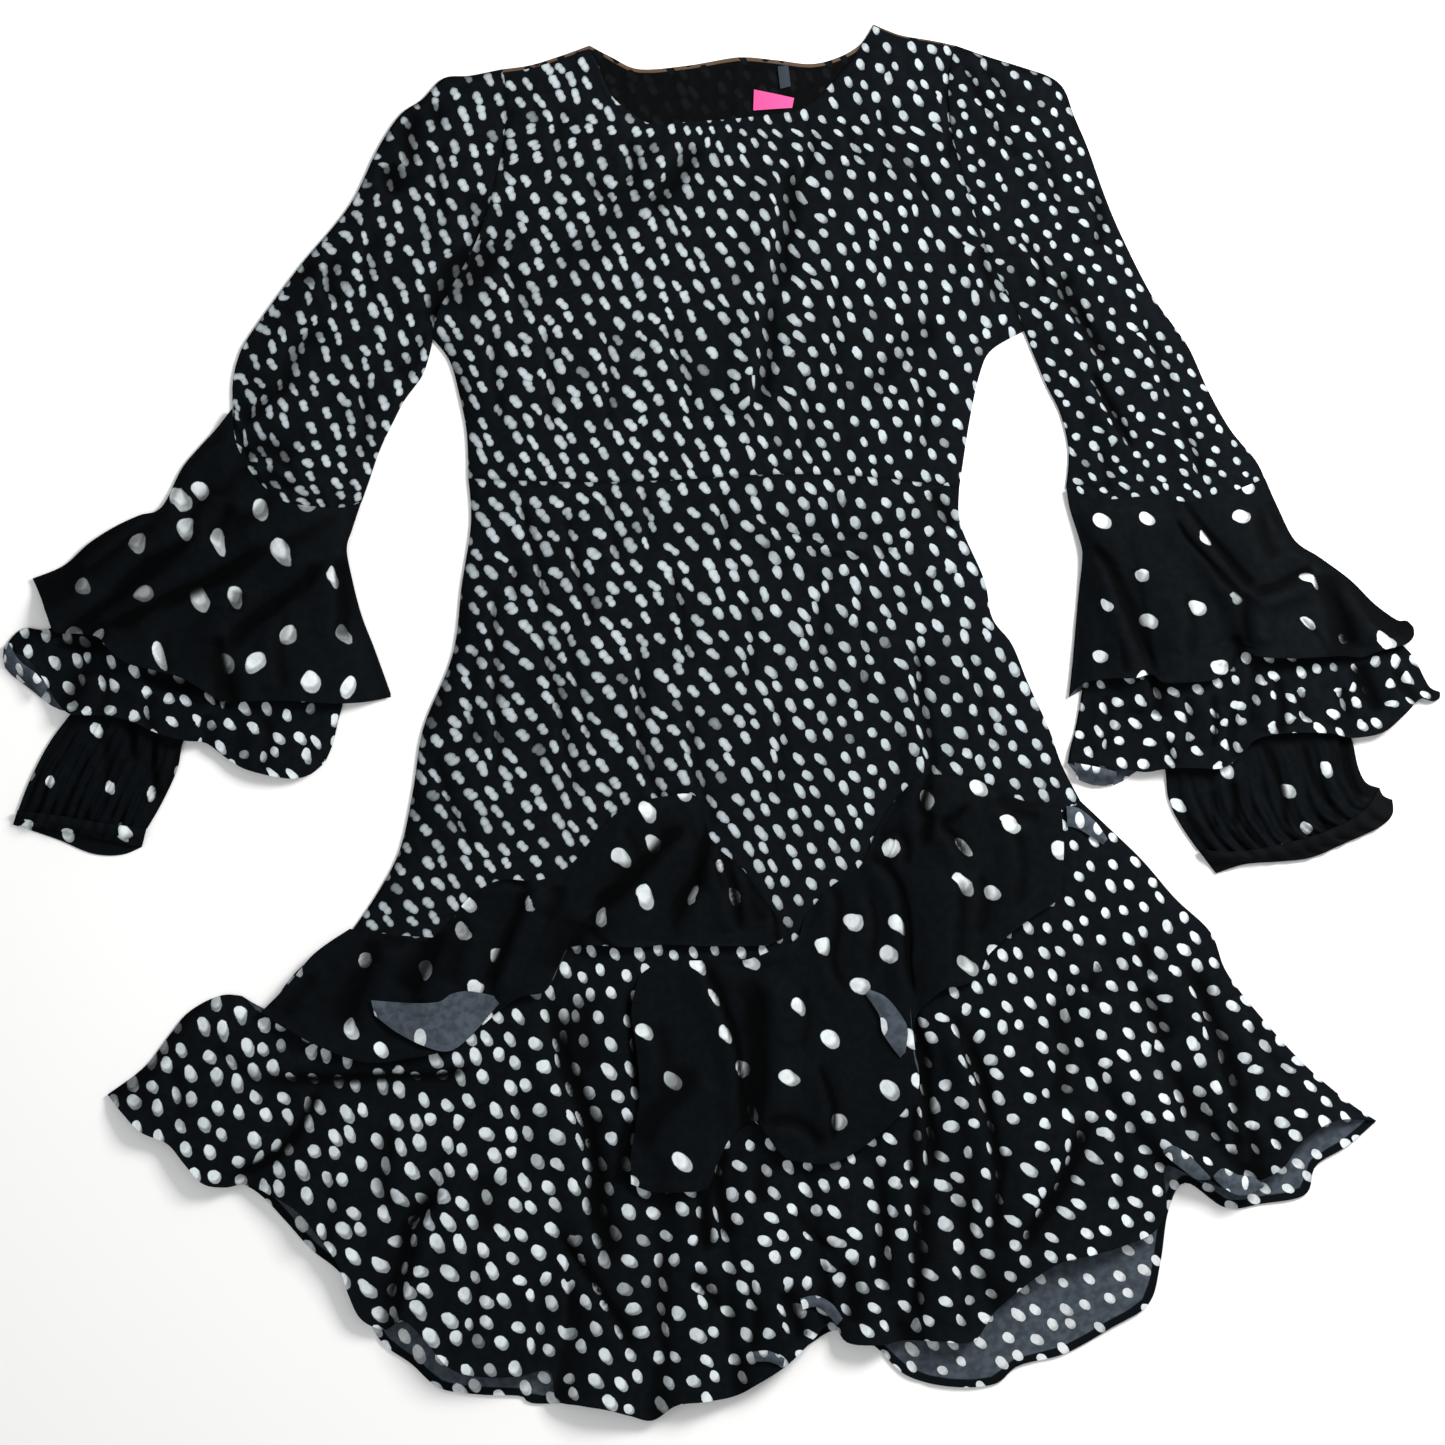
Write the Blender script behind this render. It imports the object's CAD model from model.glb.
"""Smock dress laid flat on a pale floor: crinkled dotted cloth, wrapped dark flounces, a wide
lower flounce with rolled hems, and sleeves with two flounces over a gathered cuff.

Tables are in millimetres from the middle of the laid dress, +X right, +Y toward the neck.
"""
import math

import bmesh
import bpy
import numpy as np
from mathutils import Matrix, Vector


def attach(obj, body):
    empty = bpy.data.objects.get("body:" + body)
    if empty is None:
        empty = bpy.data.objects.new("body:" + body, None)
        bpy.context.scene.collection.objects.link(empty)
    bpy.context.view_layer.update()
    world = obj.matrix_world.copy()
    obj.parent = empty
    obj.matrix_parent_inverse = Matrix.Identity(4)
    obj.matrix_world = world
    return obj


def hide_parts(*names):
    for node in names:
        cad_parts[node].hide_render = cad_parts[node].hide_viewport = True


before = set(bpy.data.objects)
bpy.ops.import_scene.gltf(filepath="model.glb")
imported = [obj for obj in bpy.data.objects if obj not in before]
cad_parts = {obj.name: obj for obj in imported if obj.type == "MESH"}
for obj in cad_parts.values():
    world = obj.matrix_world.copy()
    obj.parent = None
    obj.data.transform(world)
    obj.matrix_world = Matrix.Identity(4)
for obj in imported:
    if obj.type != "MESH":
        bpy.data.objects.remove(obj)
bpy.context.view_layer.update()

MM = 0.001
SHELL = 0.6            # thickness of the shown cloth
LAYER = 0.9            # from one layer's face to the next
FRONT = 1.75           # face of the front layer at an edge
BACK = 0.7             # face of a back layer on the floor
SLEEVE_BACK = 0.05     # underside of a sleeve part's back on the floor
CROWN = 4.2            # swell of the front over the back
CROWN_RUN = 15.0       # how far in from the edges it comes up
TUCK = 0.7             # how far one piece goes under its neighbour at a seam
CRINKLE = 0.75         # height of the crepe's crinkle on bodice, skirt and sleeves
HEM_WIDTH = 2.6        # rolled hems
HEM_HEIGHT = 0.8
TURN_BULGE = 1.2       # how far a turned edge swells
GATHERS = 11           # across the front of a cuff: main, broad and fine ones
BROAD_GATHERS = 4.3
FINE_GATHERS = 25
LABEL_HEIGHT = 2.2
LABEL_THICKNESS = 0.3
BACK_SEAM = 12         # x of the seam down the back bodice
NECK_LOW = 456         # y of the lowest point of the front neck

ARMHOLE_ROWS = 84      # rows of the panels from top to bottom
SIDE_ROWS = 40
HIP_ROWS = 118
FLOUNCE_ROWS = 100
OVER_ROWS = 74
SHOULDER_SHARES = (0.19, 0.18)    # of the bodice's columns, left and right
STEP = 3.0             # spacing of the cloth's points
BACK_HEM_STEP = 4.0    # the same along the lower flounce's hems
FRONT_HEM_STEP = 3.4
TURN_STEP = 2.5        # the same on turned edges
CELL = 3.0             # spacing of the record of what lies below
SPAN_X = 600.0         # half its width
SPAN_Y = 580.0         # half its length
FAR = 1e9
FAR_FROM_HEM = 500.0   # for pieces without a hem of their own

FOLD_REACH = 45        # how far from its line a crease is worked out
FOLD_PULL = 26         # how far from its line it draws the print in
FOLD_END = 0.16        # share of its length over which it runs out
RIDGE_FLANK = 0.5      # width of its shade toward its ridge
FAR_FLANK = 1.1        # and away from it

# Parts of a sleeve: how its node's name ends, columns and rows of its front.
SLEEVE_PARTS = {"sleeve": ("_sleeve", 74, 108), "flare": ("_flare", 110, 76),
                "tier": ("_under_flounce", 112, 84), "cuff": ("_cuff", 96, 92),
                "band": ("_cuff_band", 96, 9)}

# The three sizes of dots: how far apart they are across and along, place and radius of the upper
# and the lower lobe, squash, how much the crinkle pushes them, how ragged their rims are.
SMALL = ((15.5, 13.2), ((-0.25, 1.65), 2.75), ((0.25, -1.8), 2.6), 0.86, 1.0, 0.3)
MIDDLE = ((17.2, 18.0), ((-0.2, 0.4), 3.7), ((0.2, -0.5), 3.5), 0.7, 0.7, 0.2)
LARGE = ((40.0, 44.0), ((0.0, 0.4), 5.2), ((0.3, -0.7), 4.9), 0.8, 0.7, 0.08)
LEAN = math.radians(28)
DOT_SPIN = 0.36               # radians by which the dots' lean differs
DOT_STRETCH = (0.34, 0.83)    # what divides their length: how much it differs, its least
DOT_SIZE = (0.22, 0.89)       # how much their size differs, and its least
LOBES_MELT = 0.3              # how softly the two lobes of a dot run together
SINGLE_RADIUS = 3.0           # small dots toward the right have one lobe
SINGLE_SQUASH = 0.68
TO_SINGLE = (-0.06, 0.11)     # where along x they change, in metres
WORN_FROM = 0.965             # chance past which a dot is worn
WORN_SHARE = 0.55             # how much of a worn dot is gone
PUSH_X = 2.6 * MM             # how far the crinkle pushes the print
PUSH_Y = 1.8 * MM

# Sizes of the cloth's noises, as hills to a metre.
RIPPLES = 80.0
DULL_PATCHES = 55.0
BRISTLES = 900.0
LUMPS = 310.0
MOTTLES = 170.0
THREADS = 900.0
GRAIN = 700.0

# Outlines: x, y.
SHOULDER_LEFT = [(-166, 496), (-145, 499), (-122, 506), (-100, 514)]
SHOULDER_RIGHT = [(116, 530), (136, 522), (159, 518), (178, 514)]
NECK_FRONT = [(-100, 514), (-93, 499), (-84, 477), (-71, 465), (-52, 454), (-24, 456), (7, 458), (33, 461),
              (59, 465), (75, 476), (89, 491), (102, 507), (116, 530)]
NECK_BACK = [(-100, 514), (-83, 505), (-62, 496), (-24, 499), (13, 505), (41, 503), (68, 500), (89, 505),
             (106, 515), (116, 530)]
ARMHOLE_LEFT = [(-166, 496), (-163, 477), (-164, 450), (-169, 420), (-177, 389), (-188, 360), (-204, 332),
                (-216, 309), (-219, 291)]
ARMHOLE_RIGHT = [(178, 514), (173, 488), (174, 458), (180, 427), (189, 397), (200, 364), (213, 333),
                 (224, 313), (230, 297)]
SIDE_LEFT = [(-219, 291), (-206, 274), (-198, 245), (-193, 218), (-192, 185)]
SIDE_RIGHT = [(230, 297), (206, 283), (197, 266), (189, 230), (181, 178)]
WAIST = [(-192, 185), (-147, 183), (-92, 182), (-31, 184), (37, 188), (98, 187), (151, 182), (181, 178)]
HIP_LEFT = [(-192, 185), (-190, 151), (-197, 104), (-204, 51), (-226, -4), (-234, -52), (-244, -97),
            (-261, -130), (-280, -158)]
HIP_RIGHT = [(181, 178), (182, 150), (200, 108), (206, 79), (221, 59), (233, 30), (249, -5), (259, -33),
             (273, -60)]
DROP_SEAM = [(-280, -158), (-229, -163), (-168, -165), (-107, -165), (-54, -166), (-1, -167), (52, -168),
             (89, -160), (125, -145), (170, -121), (221, -90), (273, -60)]
FLOUNCE_LEFT = [(-280, -158), (-320, -187), (-347, -219), (-363, -209), (-381, -208), (-404, -220),
                (-420, -239), (-438, -262), (-466, -283)]
FLOUNCE_RIGHT = [(273, -60), (292, -78), (320, -105), (345, -134), (372, -160), (384, -190), (411, -225),
                 (444, -261), (477, -289), (498, -303)]
BACK_HEM = [(-466, -283), (-445, -301), (-419, -316), (-392, -342), (-366, -350), (-349, -360),
            (-330, -380), (-311, -401), (-290, -418), (-274, -443), (-258, -471), (-235, -488),
            (-214, -506), (-183, -511), (-153, -512), (-133, -518), (-24, -508), (52, -481), (87, -462),
            (115, -473), (140, -496), (174, -505), (208, -503), (226, -489), (261, -480), (297, -460),
            (325, -442), (334, -410), (340, -371), (353, -350), (383, -369), (411, -366), (444, -359),
            (452, -337), (476, -322), (498, -303)]

# Lower flounce and the two wrapped over it; a hem has a row to each crest or hollow: x, y, rise.
FLOUNCE_HEM = [(-466, -283, 1), (-455, -296, 3), (-440, -311, 5), (-420, -320, 3), (-407, -335, 5),
               (-393, -350, 6), (-376, -353, 4), (-360, -351, 1), (-339, -360, 5), (-320, -372, 8),
               (-305, -390, 8), (-290, -412, 6), (-283, -433, 4), (-273, -453, 3), (-255, -461, 1),
               (-242, -453, 6), (-226, -466, 10), (-206, -489, 10), (-182, -496, 8), (-154, -496, 6),
               (-130, -492, 3), (-125, -514, 2), (-107, -518, 7), (-87, -521, 9), (-69, -526, 5),
               (-52, -530, 1), (-34, -518, 7), (-12, -515, 9), (11, -511, 3), (27, -502, 8),
               (46, -490, 11), (58, -480, 8), (70, -468, 5), (84, -455, 1), (95, -470, 6), (119, -472, 9),
               (140, -469, 2), (165, -469, 10), (191, -469, 8), (207, -448, 2), (220, -436, 6),
               (238, -421, 10), (258, -409, 11), (280, -404, 10), (305, -397, 7), (329, -386, 4),
               (338, -367, 3), (337, -337, 1), (362, -347, 9), (385, -353, 9), (406, -349, 3),
               (426, -337, 9), (440, -318, 8), (467, -302, 5), (498, -303, 1)]
OVER_LEFT_TOP = [(-282, -157), (-265, -159), (-246, -163), (-225, -166), (-208, -154), (-191, -133),
                 (-168, -120), (-138, -120), (-114, -108), (-97, -88), (-74, -65), (-46, -57), (-18, -57),
                 (-7, -90), (16, -111), (33, -135), (52, -160)]
OVER_LEFT_SIDE = [(-282, -157), (-309, -176), (-329, -200), (-349, -220)]
OVER_LEFT_END = [(52, -160), (45, -165), (36, -169)]
OVER_LEFT_HEM = [(-349, -220, 1), (-334, -230, 3), (-318, -239, 5), (-301, -247, 6), (-284, -254, 4),
                 (-267, -258, 2), (-249, -257, 5), (-233, -254, 7), (-216, -251, 8), (-200, -246, 6),
                 (-185, -234, 4), (-168, -219, 3), (-151, -208, 6), (-133, -204, 7), (-124, -187, 3),
                 (-116, -172, 2), (-98, -169, 6), (-81, -170, 8), (-62, -171, 4), (-45, -169, 2),
                 (-28, -169, 6), (-13, -170, 4), (1, -170, 3), (14, -170, 3), (36, -169, 2)]
OVER_RIGHT_TOP = [(-62, -192), (-45, -182), (-16, -181), (16, -181), (41, -172), (58, -164), (65, -147),
                  (83, -125), (106, -109), (122, -74), (147, -44), (170, -40), (201, -46), (227, -59),
                  (258, -64)]
OVER_RIGHT_SIDE = [(-62, -192), (-68, -219), (-64, -249), (-62, -287), (-68, -325), (-68, -350)]
OVER_RIGHT_END = [(258, -64), (260, -97), (257, -133)]
OVER_RIGHT_HEM = [(-68, -350, 1), (-52, -356, 3), (-31, -356, 4), (-11, -353, 3), (-3, -335, 1),
                  (8, -314, 0), (24, -302, 2), (36, -315, 5), (49, -330, 6), (68, -334, 6), (85, -334, 5),
                  (103, -325, 4), (119, -313, 3), (136, -297, 4), (148, -281, 5), (150, -269, 5),
                  (147, -256, 3), (145, -243, 1), (146, -230, 1), (150, -219, 2), (158, -211, 6),
                  (170, -202, 8), (185, -199, 6), (196, -192, 3), (201, -179, 3), (211, -168, 6),
                  (221, -159, 7), (233, -150, 6), (242, -144, 3), (250, -139, 4), (257, -133, 3)]

# Edges of each sleeve part: x, y, and rise for a waving hem. The under edges are the backs' hems.
LEFT = {
    "sleeve_outer": [(-166, 496), (-191, 491), (-211, 489), (-227, 473), (-244, 461), (-261, 435),
                     (-277, 401), (-293, 378), (-321, 345), (-358, 294), (-367, 276), (-371, 258),
                     (-371, 238)],
    "sleeve_inner": [(-219, 291), (-221, 281), (-227, 263), (-240, 245), (-248, 230), (-259, 207),
                     (-267, 184), (-273, 167)],
    "sleeve_hem": [(-371, 238), (-369, 216), (-362, 198), (-352, 184), (-341, 174), (-328, 166),
                   (-305, 163), (-286, 163), (-273, 167)],
    "flare_outer": [(-371, 238), (-384, 222), (-396, 209), (-410, 192), (-425, 163), (-442, 157),
                    (-461, 148), (-481, 135), (-499, 119), (-523, 109)],
    "flare_inner": [(-273, 167), (-280, 146), (-284, 131), (-280, 108), (-273, 81), (-263, 55),
                    (-250, 19)],
    "flare_hem": [(-523, 109, 0), (-516, 94, 4), (-511, 81, 7), (-504, 68, 5), (-486, 67, 2),
                  (-471, 64, 6), (-461, 53, 9), (-448, 44, 7), (-428, 39, 4), (-407, 33, 7), (-390, 23, 8),
                  (-375, 15, 2), (-349, 16, 6), (-323, 16, 8), (-296, 14, 6), (-271, 15, 4),
                  (-250, 19, 0)],
    "flare_under": [(-523, 109), (-495, 76), (-434, 51), (-369, 24), (-305, 21), (-250, 19)],
    "tier_top": [(-375, 205), (-363, 185), (-347, 169), (-328, 158), (-303, 154), (-283, 155)],
    "tier_outer": [(-375, 205), (-392, 190), (-411, 163), (-438, 146), (-464, 132), (-483, 114),
                   (-493, 93), (-510, 71), (-531, 71), (-545, 56)],
    "tier_inner": [(-283, 155), (-291, 138), (-293, 108), (-290, 78), (-286, 47), (-287, 17), (-291, 0),
                   (-295, -17), (-301, -31)],
    "tier_hem": [(-545, 56, 0), (-528, 49, 3), (-516, 35, 4), (-505, 17, 5), (-493, 6, 5), (-470, 5, 4),
                 (-448, 1, 2), (-428, -8, 4), (-407, -14, 6), (-391, -16, 4), (-376, -27, 3),
                 (-363, -35, 5), (-350, -39, 7), (-336, -42, 6), (-324, -43, 4), (-312, -40, 3),
                 (-301, -31, 0)],
    "tier_under": [(-545, 56), (-544, 41), (-525, 25), (-498, 8), (-442, 5), (-396, -10), (-349, -33),
                   (-320, -36), (-301, -31)],
    "cuff_top": [(-352, 175), (-329, 153), (-301, 141)],
    "cuff_outer": [(-352, 175), (-385, 150), (-423, 104), (-458, 59), (-478, 26), (-495, 5), (-511, -17),
                   (-525, -44), (-534, -67)],
    "cuff_inner": [(-301, 141), (-328, 93), (-366, 32), (-394, 0), (-408, -14), (-413, -36), (-425, -62),
                   (-436, -81)],
    "cuff_hem": [(-534, -67), (-502, -71), (-472, -76), (-436, -81)],
    "band_outer": [(-534, -67), (-538, -78)],
    "band_inner": [(-436, -81), (-440, -95)],
    "band_hem": [(-538, -78), (-514, -81), (-489, -85), (-466, -90), (-440, -95)],
    "band_under": [(-538, -78), (-505, -89), (-478, -100), (-456, -101), (-440, -95)],
}
RIGHT = {
    "sleeve_outer": [(178, 514), (201, 506), (227, 498), (250, 490), (261, 480), (268, 461), (279, 435),
                     (291, 401), (303, 372), (325, 328), (343, 302), (356, 283), (370, 252), (387, 222),
                     (406, 199), (413, 185)],
    "sleeve_inner": [(230, 297), (239, 275), (248, 254), (257, 236), (263, 214), (264, 198), (262, 178)],
    "sleeve_hem": [(413, 185), (391, 176), (375, 170), (356, 167), (337, 169), (318, 171), (296, 169),
                   (277, 171), (262, 178)],
    "flare_outer": [(413, 185), (423, 163), (436, 138), (455, 125), (478, 108), (495, 91), (508, 81),
                    (515, 77), (521, 77), (526, 72)],
    "flare_inner": [(262, 178), (265, 161), (273, 135), (274, 122), (271, 93), (267, 47), (264, 19)],
    "flare_hem": [(526, 72, 0), (526, 65, 3), (519, 59, 5), (500, 54, 5), (486, 49, 3), (472, 50, 6),
                  (454, 49, 12), (431, 48, 13), (408, 49, 9), (393, 53, 2), (387, 41, 3), (373, 32, 8),
                  (353, 30, 8), (334, 30, 6), (326, 36, 2), (312, 33, 6), (294, 33, 7), (274, 29, 4),
                  (264, 19, 0)],
    "flare_under": [(526, 72), (474, 59), (417, 55), (364, 41), (311, 40), (264, 19)],
    "tier_top": [(402, 170), (375, 158), (349, 155), (318, 158), (292, 157), (273, 160)],
    "tier_outer": [(402, 170), (416, 148), (429, 128), (449, 112), (472, 95), (489, 78), (505, 65),
                   (518, 58), (527, 48), (534, 34), (539, 26), (546, 23)],
    "tier_inner": [(273, 160), (282, 129), (282, 93), (277, 47), (273, 17), (269, -5), (265, -20),
                   (263, -31)],
    "tier_hem": [(546, 23, 0), (546, 18, 2), (540, 16, 3), (531, 18, 4), (518, 5, 5), (502, -8, 6),
                 (480, -12, 2), (464, -9, 4), (445, -8, 5), (423, -9, 7), (404, -14, 5), (393, -27, 3),
                 (379, -35, 5), (361, -35, 6), (341, -35, 4), (322, -38, 6), (302, -35, 5), (280, -32, 4),
                 (263, -31, 0)],
    "tier_under": [(546, 23), (516, 11), (478, -6), (432, -3), (379, -29), (326, -33), (299, -48),
                   (277, -45), (263, -31)],
    "cuff_top": [(391, 154), (341, 143), (290, 146)],
    "cuff_outer": [(391, 154), (414, 112), (448, 59), (467, 17), (479, -13), (484, -34), (490, -46),
                   (500, -50)],
    "cuff_inner": [(290, 146), (300, 93), (315, 32), (330, -12), (337, -35), (340, -59), (349, -78),
                   (362, -97)],
    "cuff_hem": [(500, -50), (488, -67), (463, -81), (432, -91), (394, -98), (362, -97)],
    "band_outer": [(500, -50), (503, -56), (510, -59)],
    "band_inner": [(362, -97), (376, -115)],
    "band_hem": [(510, -59), (510, -70), (500, -80), (474, -92), (448, -103), (425, -106), (398, -108),
                 (376, -115)],
}

# Creases of each piece, a row to each: its line, half width, how dark it lies, its depth, and
# the height of the ridge along the right of the way it runs.
BODICE_FOLDS = [
    ([(-168, 394), (-165, 374), (-170, 352)], 7.0, 0.42, 1.2, 0.8),
    ([(52, 424), (50, 402), (50, 378), (46, 362), (44, 345), (38, 322)], 5.5, 0.95, 4.0, 3.0),
    ([(38, 324), (35, 302), (36, 288), (32, 262), (28, 236)], 4.5, 0.95, 4.0, 3.5),
    ([(-22, 442), (-28, 425), (-38, 412), (-48, 398), (-58, 390)], 6.5, 0.95, 4.0, 3.0),
    ([(-72, 442), (-66, 422), (-70, 408)], 4.0, 0.6, 2.0, 1.5),
    ([(-102, 412), (-92, 400), (-82, 396)], 5.5, 0.6, 2.0, 1.5),
    ([(-58, 414), (-80, 392), (-94, 374), (-104, 360), (-134, 350)], 9.0, 0.42, 1.8, 1.0),
    ([(-176, 366), (-190, 348), (-202, 334), (-214, 318)], 8.0, 1.0, 5.0, 3.5),
    ([(-164, 348), (-156, 330), (-150, 308)], 5.0, 0.5, 2.0, 1.5),
    ([(-44, 302), (-32, 276), (-25, 252), (-22, 232)], 4.0, 0.45, 1.8, 2.0),
    ([(-8, 236), (8, 236), (24, 228)], 4.5, 0.4, 1.5, 1.0),
    ([(162, 304), (142, 292), (122, 268), (104, 244)], 8.0, 0.55, 2.0, 2.0),
    ([(204, 372), (196, 352), (203, 334), (212, 316)], 3.0, 0.7, 2.0, 2.0),
    ([(142, 424), (150, 408), (160, 394)], 2.6, 0.5, 1.6, 1.2),
    ([(70, 450), (66, 426), (58, 408)], 3.0, 0.55, 2.0, 1.5),
    ([(92, 456), (98, 438), (100, 424)], 3.0, 0.4, 1.6, 1.4),
    ([(-120, 470), (-126, 440), (-122, 410)], 3.0, 0.35, 1.5, 1.3),
    ([(-160, 470), (-166, 440), (-164, 408)], 3.0, 0.4, 1.5, 1.3),
    ([(-136, 300), (-130, 262), (-132, 220)], 3.0, 0.4, 1.5, 1.3),
    ([(-90, 300), (-84, 262), (-88, 220)], 2.6, 0.35, 1.4, 1.2),
    ([(90, 340), (84, 300), (88, 262)], 2.6, 0.35, 1.4, 1.2),
    ([(120, 470), (124, 440), (118, 408)], 3.0, 0.4, 1.6, 1.4),
    ([(168, 482), (174, 456), (170, 424)], 3.0, 0.5, 1.6, 1.4),
    ([(150, 262), (154, 232), (148, 204)], 3.0, 0.4, 1.5, 1.3),
    ([(60, 262), (66, 232), (60, 200)], 3.0, 0.4, 1.5, 1.3),
    ([(-176, 300), (-172, 262), (-168, 226)], 2.8, 0.5, 1.6, 1.3),
]
SKIRT_FOLDS = [
    ([(-172, 104), (-173, 70), (-171, 45), (-172, 15), (-170, -10), (-168, -44)], 2.4, 0.8, 2.2, 1.8),
    ([(-156, 174), (-146, 145), (-141, 125), (-136, 100), (-134, 76)], 2.2, 0.8, 2.0, 1.6),
    ([(-138, 66), (-128, 30), (-122, 5), (-116, -30), (-108, -66)], 2.4, 0.65, 2.0, 1.8),
    ([(-119, 166), (-113, 128), (-104, 95), (-98, 72)], 2.2, 0.75, 2.0, 1.6),
    ([(-122, 74), (-112, 40), (-104, 5), (-98, -24)], 2.2, 0.6, 1.8, 1.5),
    ([(-63, 66), (-61, 30), (-62, 5), (-62, -15), (-56, -38), (-46, -58), (-38, -74)], 2.6, 0.9, 2.6, 2.2),
    ([(-39, 114), (-32, 90), (-27, 62), (-25, 42)], 2.2, 0.6, 1.6, 1.3),
    ([(-26, 16), (-22, -14), (-18, -40), (-9, -64), (-5, -86)], 2.6, 0.65, 2.0, 1.6),
    ([(-220, -18), (-210, -50), (-200, -75), (-188, -96)], 3.0, 0.7, 2.2, 2.0),
    ([(-158, 126), (-157, 92)], 3.0, 0.5, 1.6, 1.0),
    ([(152, 116), (154, 92)], 2.6, 0.4, 1.4, 1.0),
    ([(145, 66), (150, 38), (152, 12), (157, -10), (160, -28), (157, -56)], 3.2, 0.9, 3.0, 2.6),
    ([(158, 176), (166, 160), (174, 146)], 4.5, 0.8, 2.6, 2.0),
    ([(114, 138), (127, 126)], 4.5, 0.5, 2.0, 1.2),
    ([(24, 158), (60, 141), (95, 139), (128, 144)], 2.6, 0.4, 2.0, 2.6),
    ([(38, 143), (76, 126), (114, 124)], 2.6, 0.4, 2.0, 2.2),
    ([(72, 96), (76, 70), (71, 38)], 3.5, 0.35, 1.6, 1.2),
    ([(20, 94), (24, 64), (18, 30)], 3.0, 0.35, 1.5, 1.2),
    ([(184, 60), (196, 20), (206, -20)], 3.0, 0.4, 1.8, 1.6),
    ([(104, 96), (108, 50), (102, 10)], 2.6, 0.3, 1.4, 1.2),
    ([(40, 20), (46, -20), (38, -60)], 2.8, 0.35, 1.5, 1.3),
    ([(-186, 60), (-190, 20), (-188, -20)], 2.6, 0.4, 1.6, 1.3),
    ([(-90, 176), (-84, 150), (-80, 120)], 2.6, 0.4, 1.5, 1.3),
    ([(86, 176), (90, 150), (86, 130)], 2.6, 0.4, 1.5, 1.3),
    ([(-60, 178), (-56, 150), (-52, 126)], 2.6, 0.35, 1.5, 1.3),
    ([(-2, 178), (2, 150), (0, 124)], 2.6, 0.35, 1.5, 1.3),
]
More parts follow.
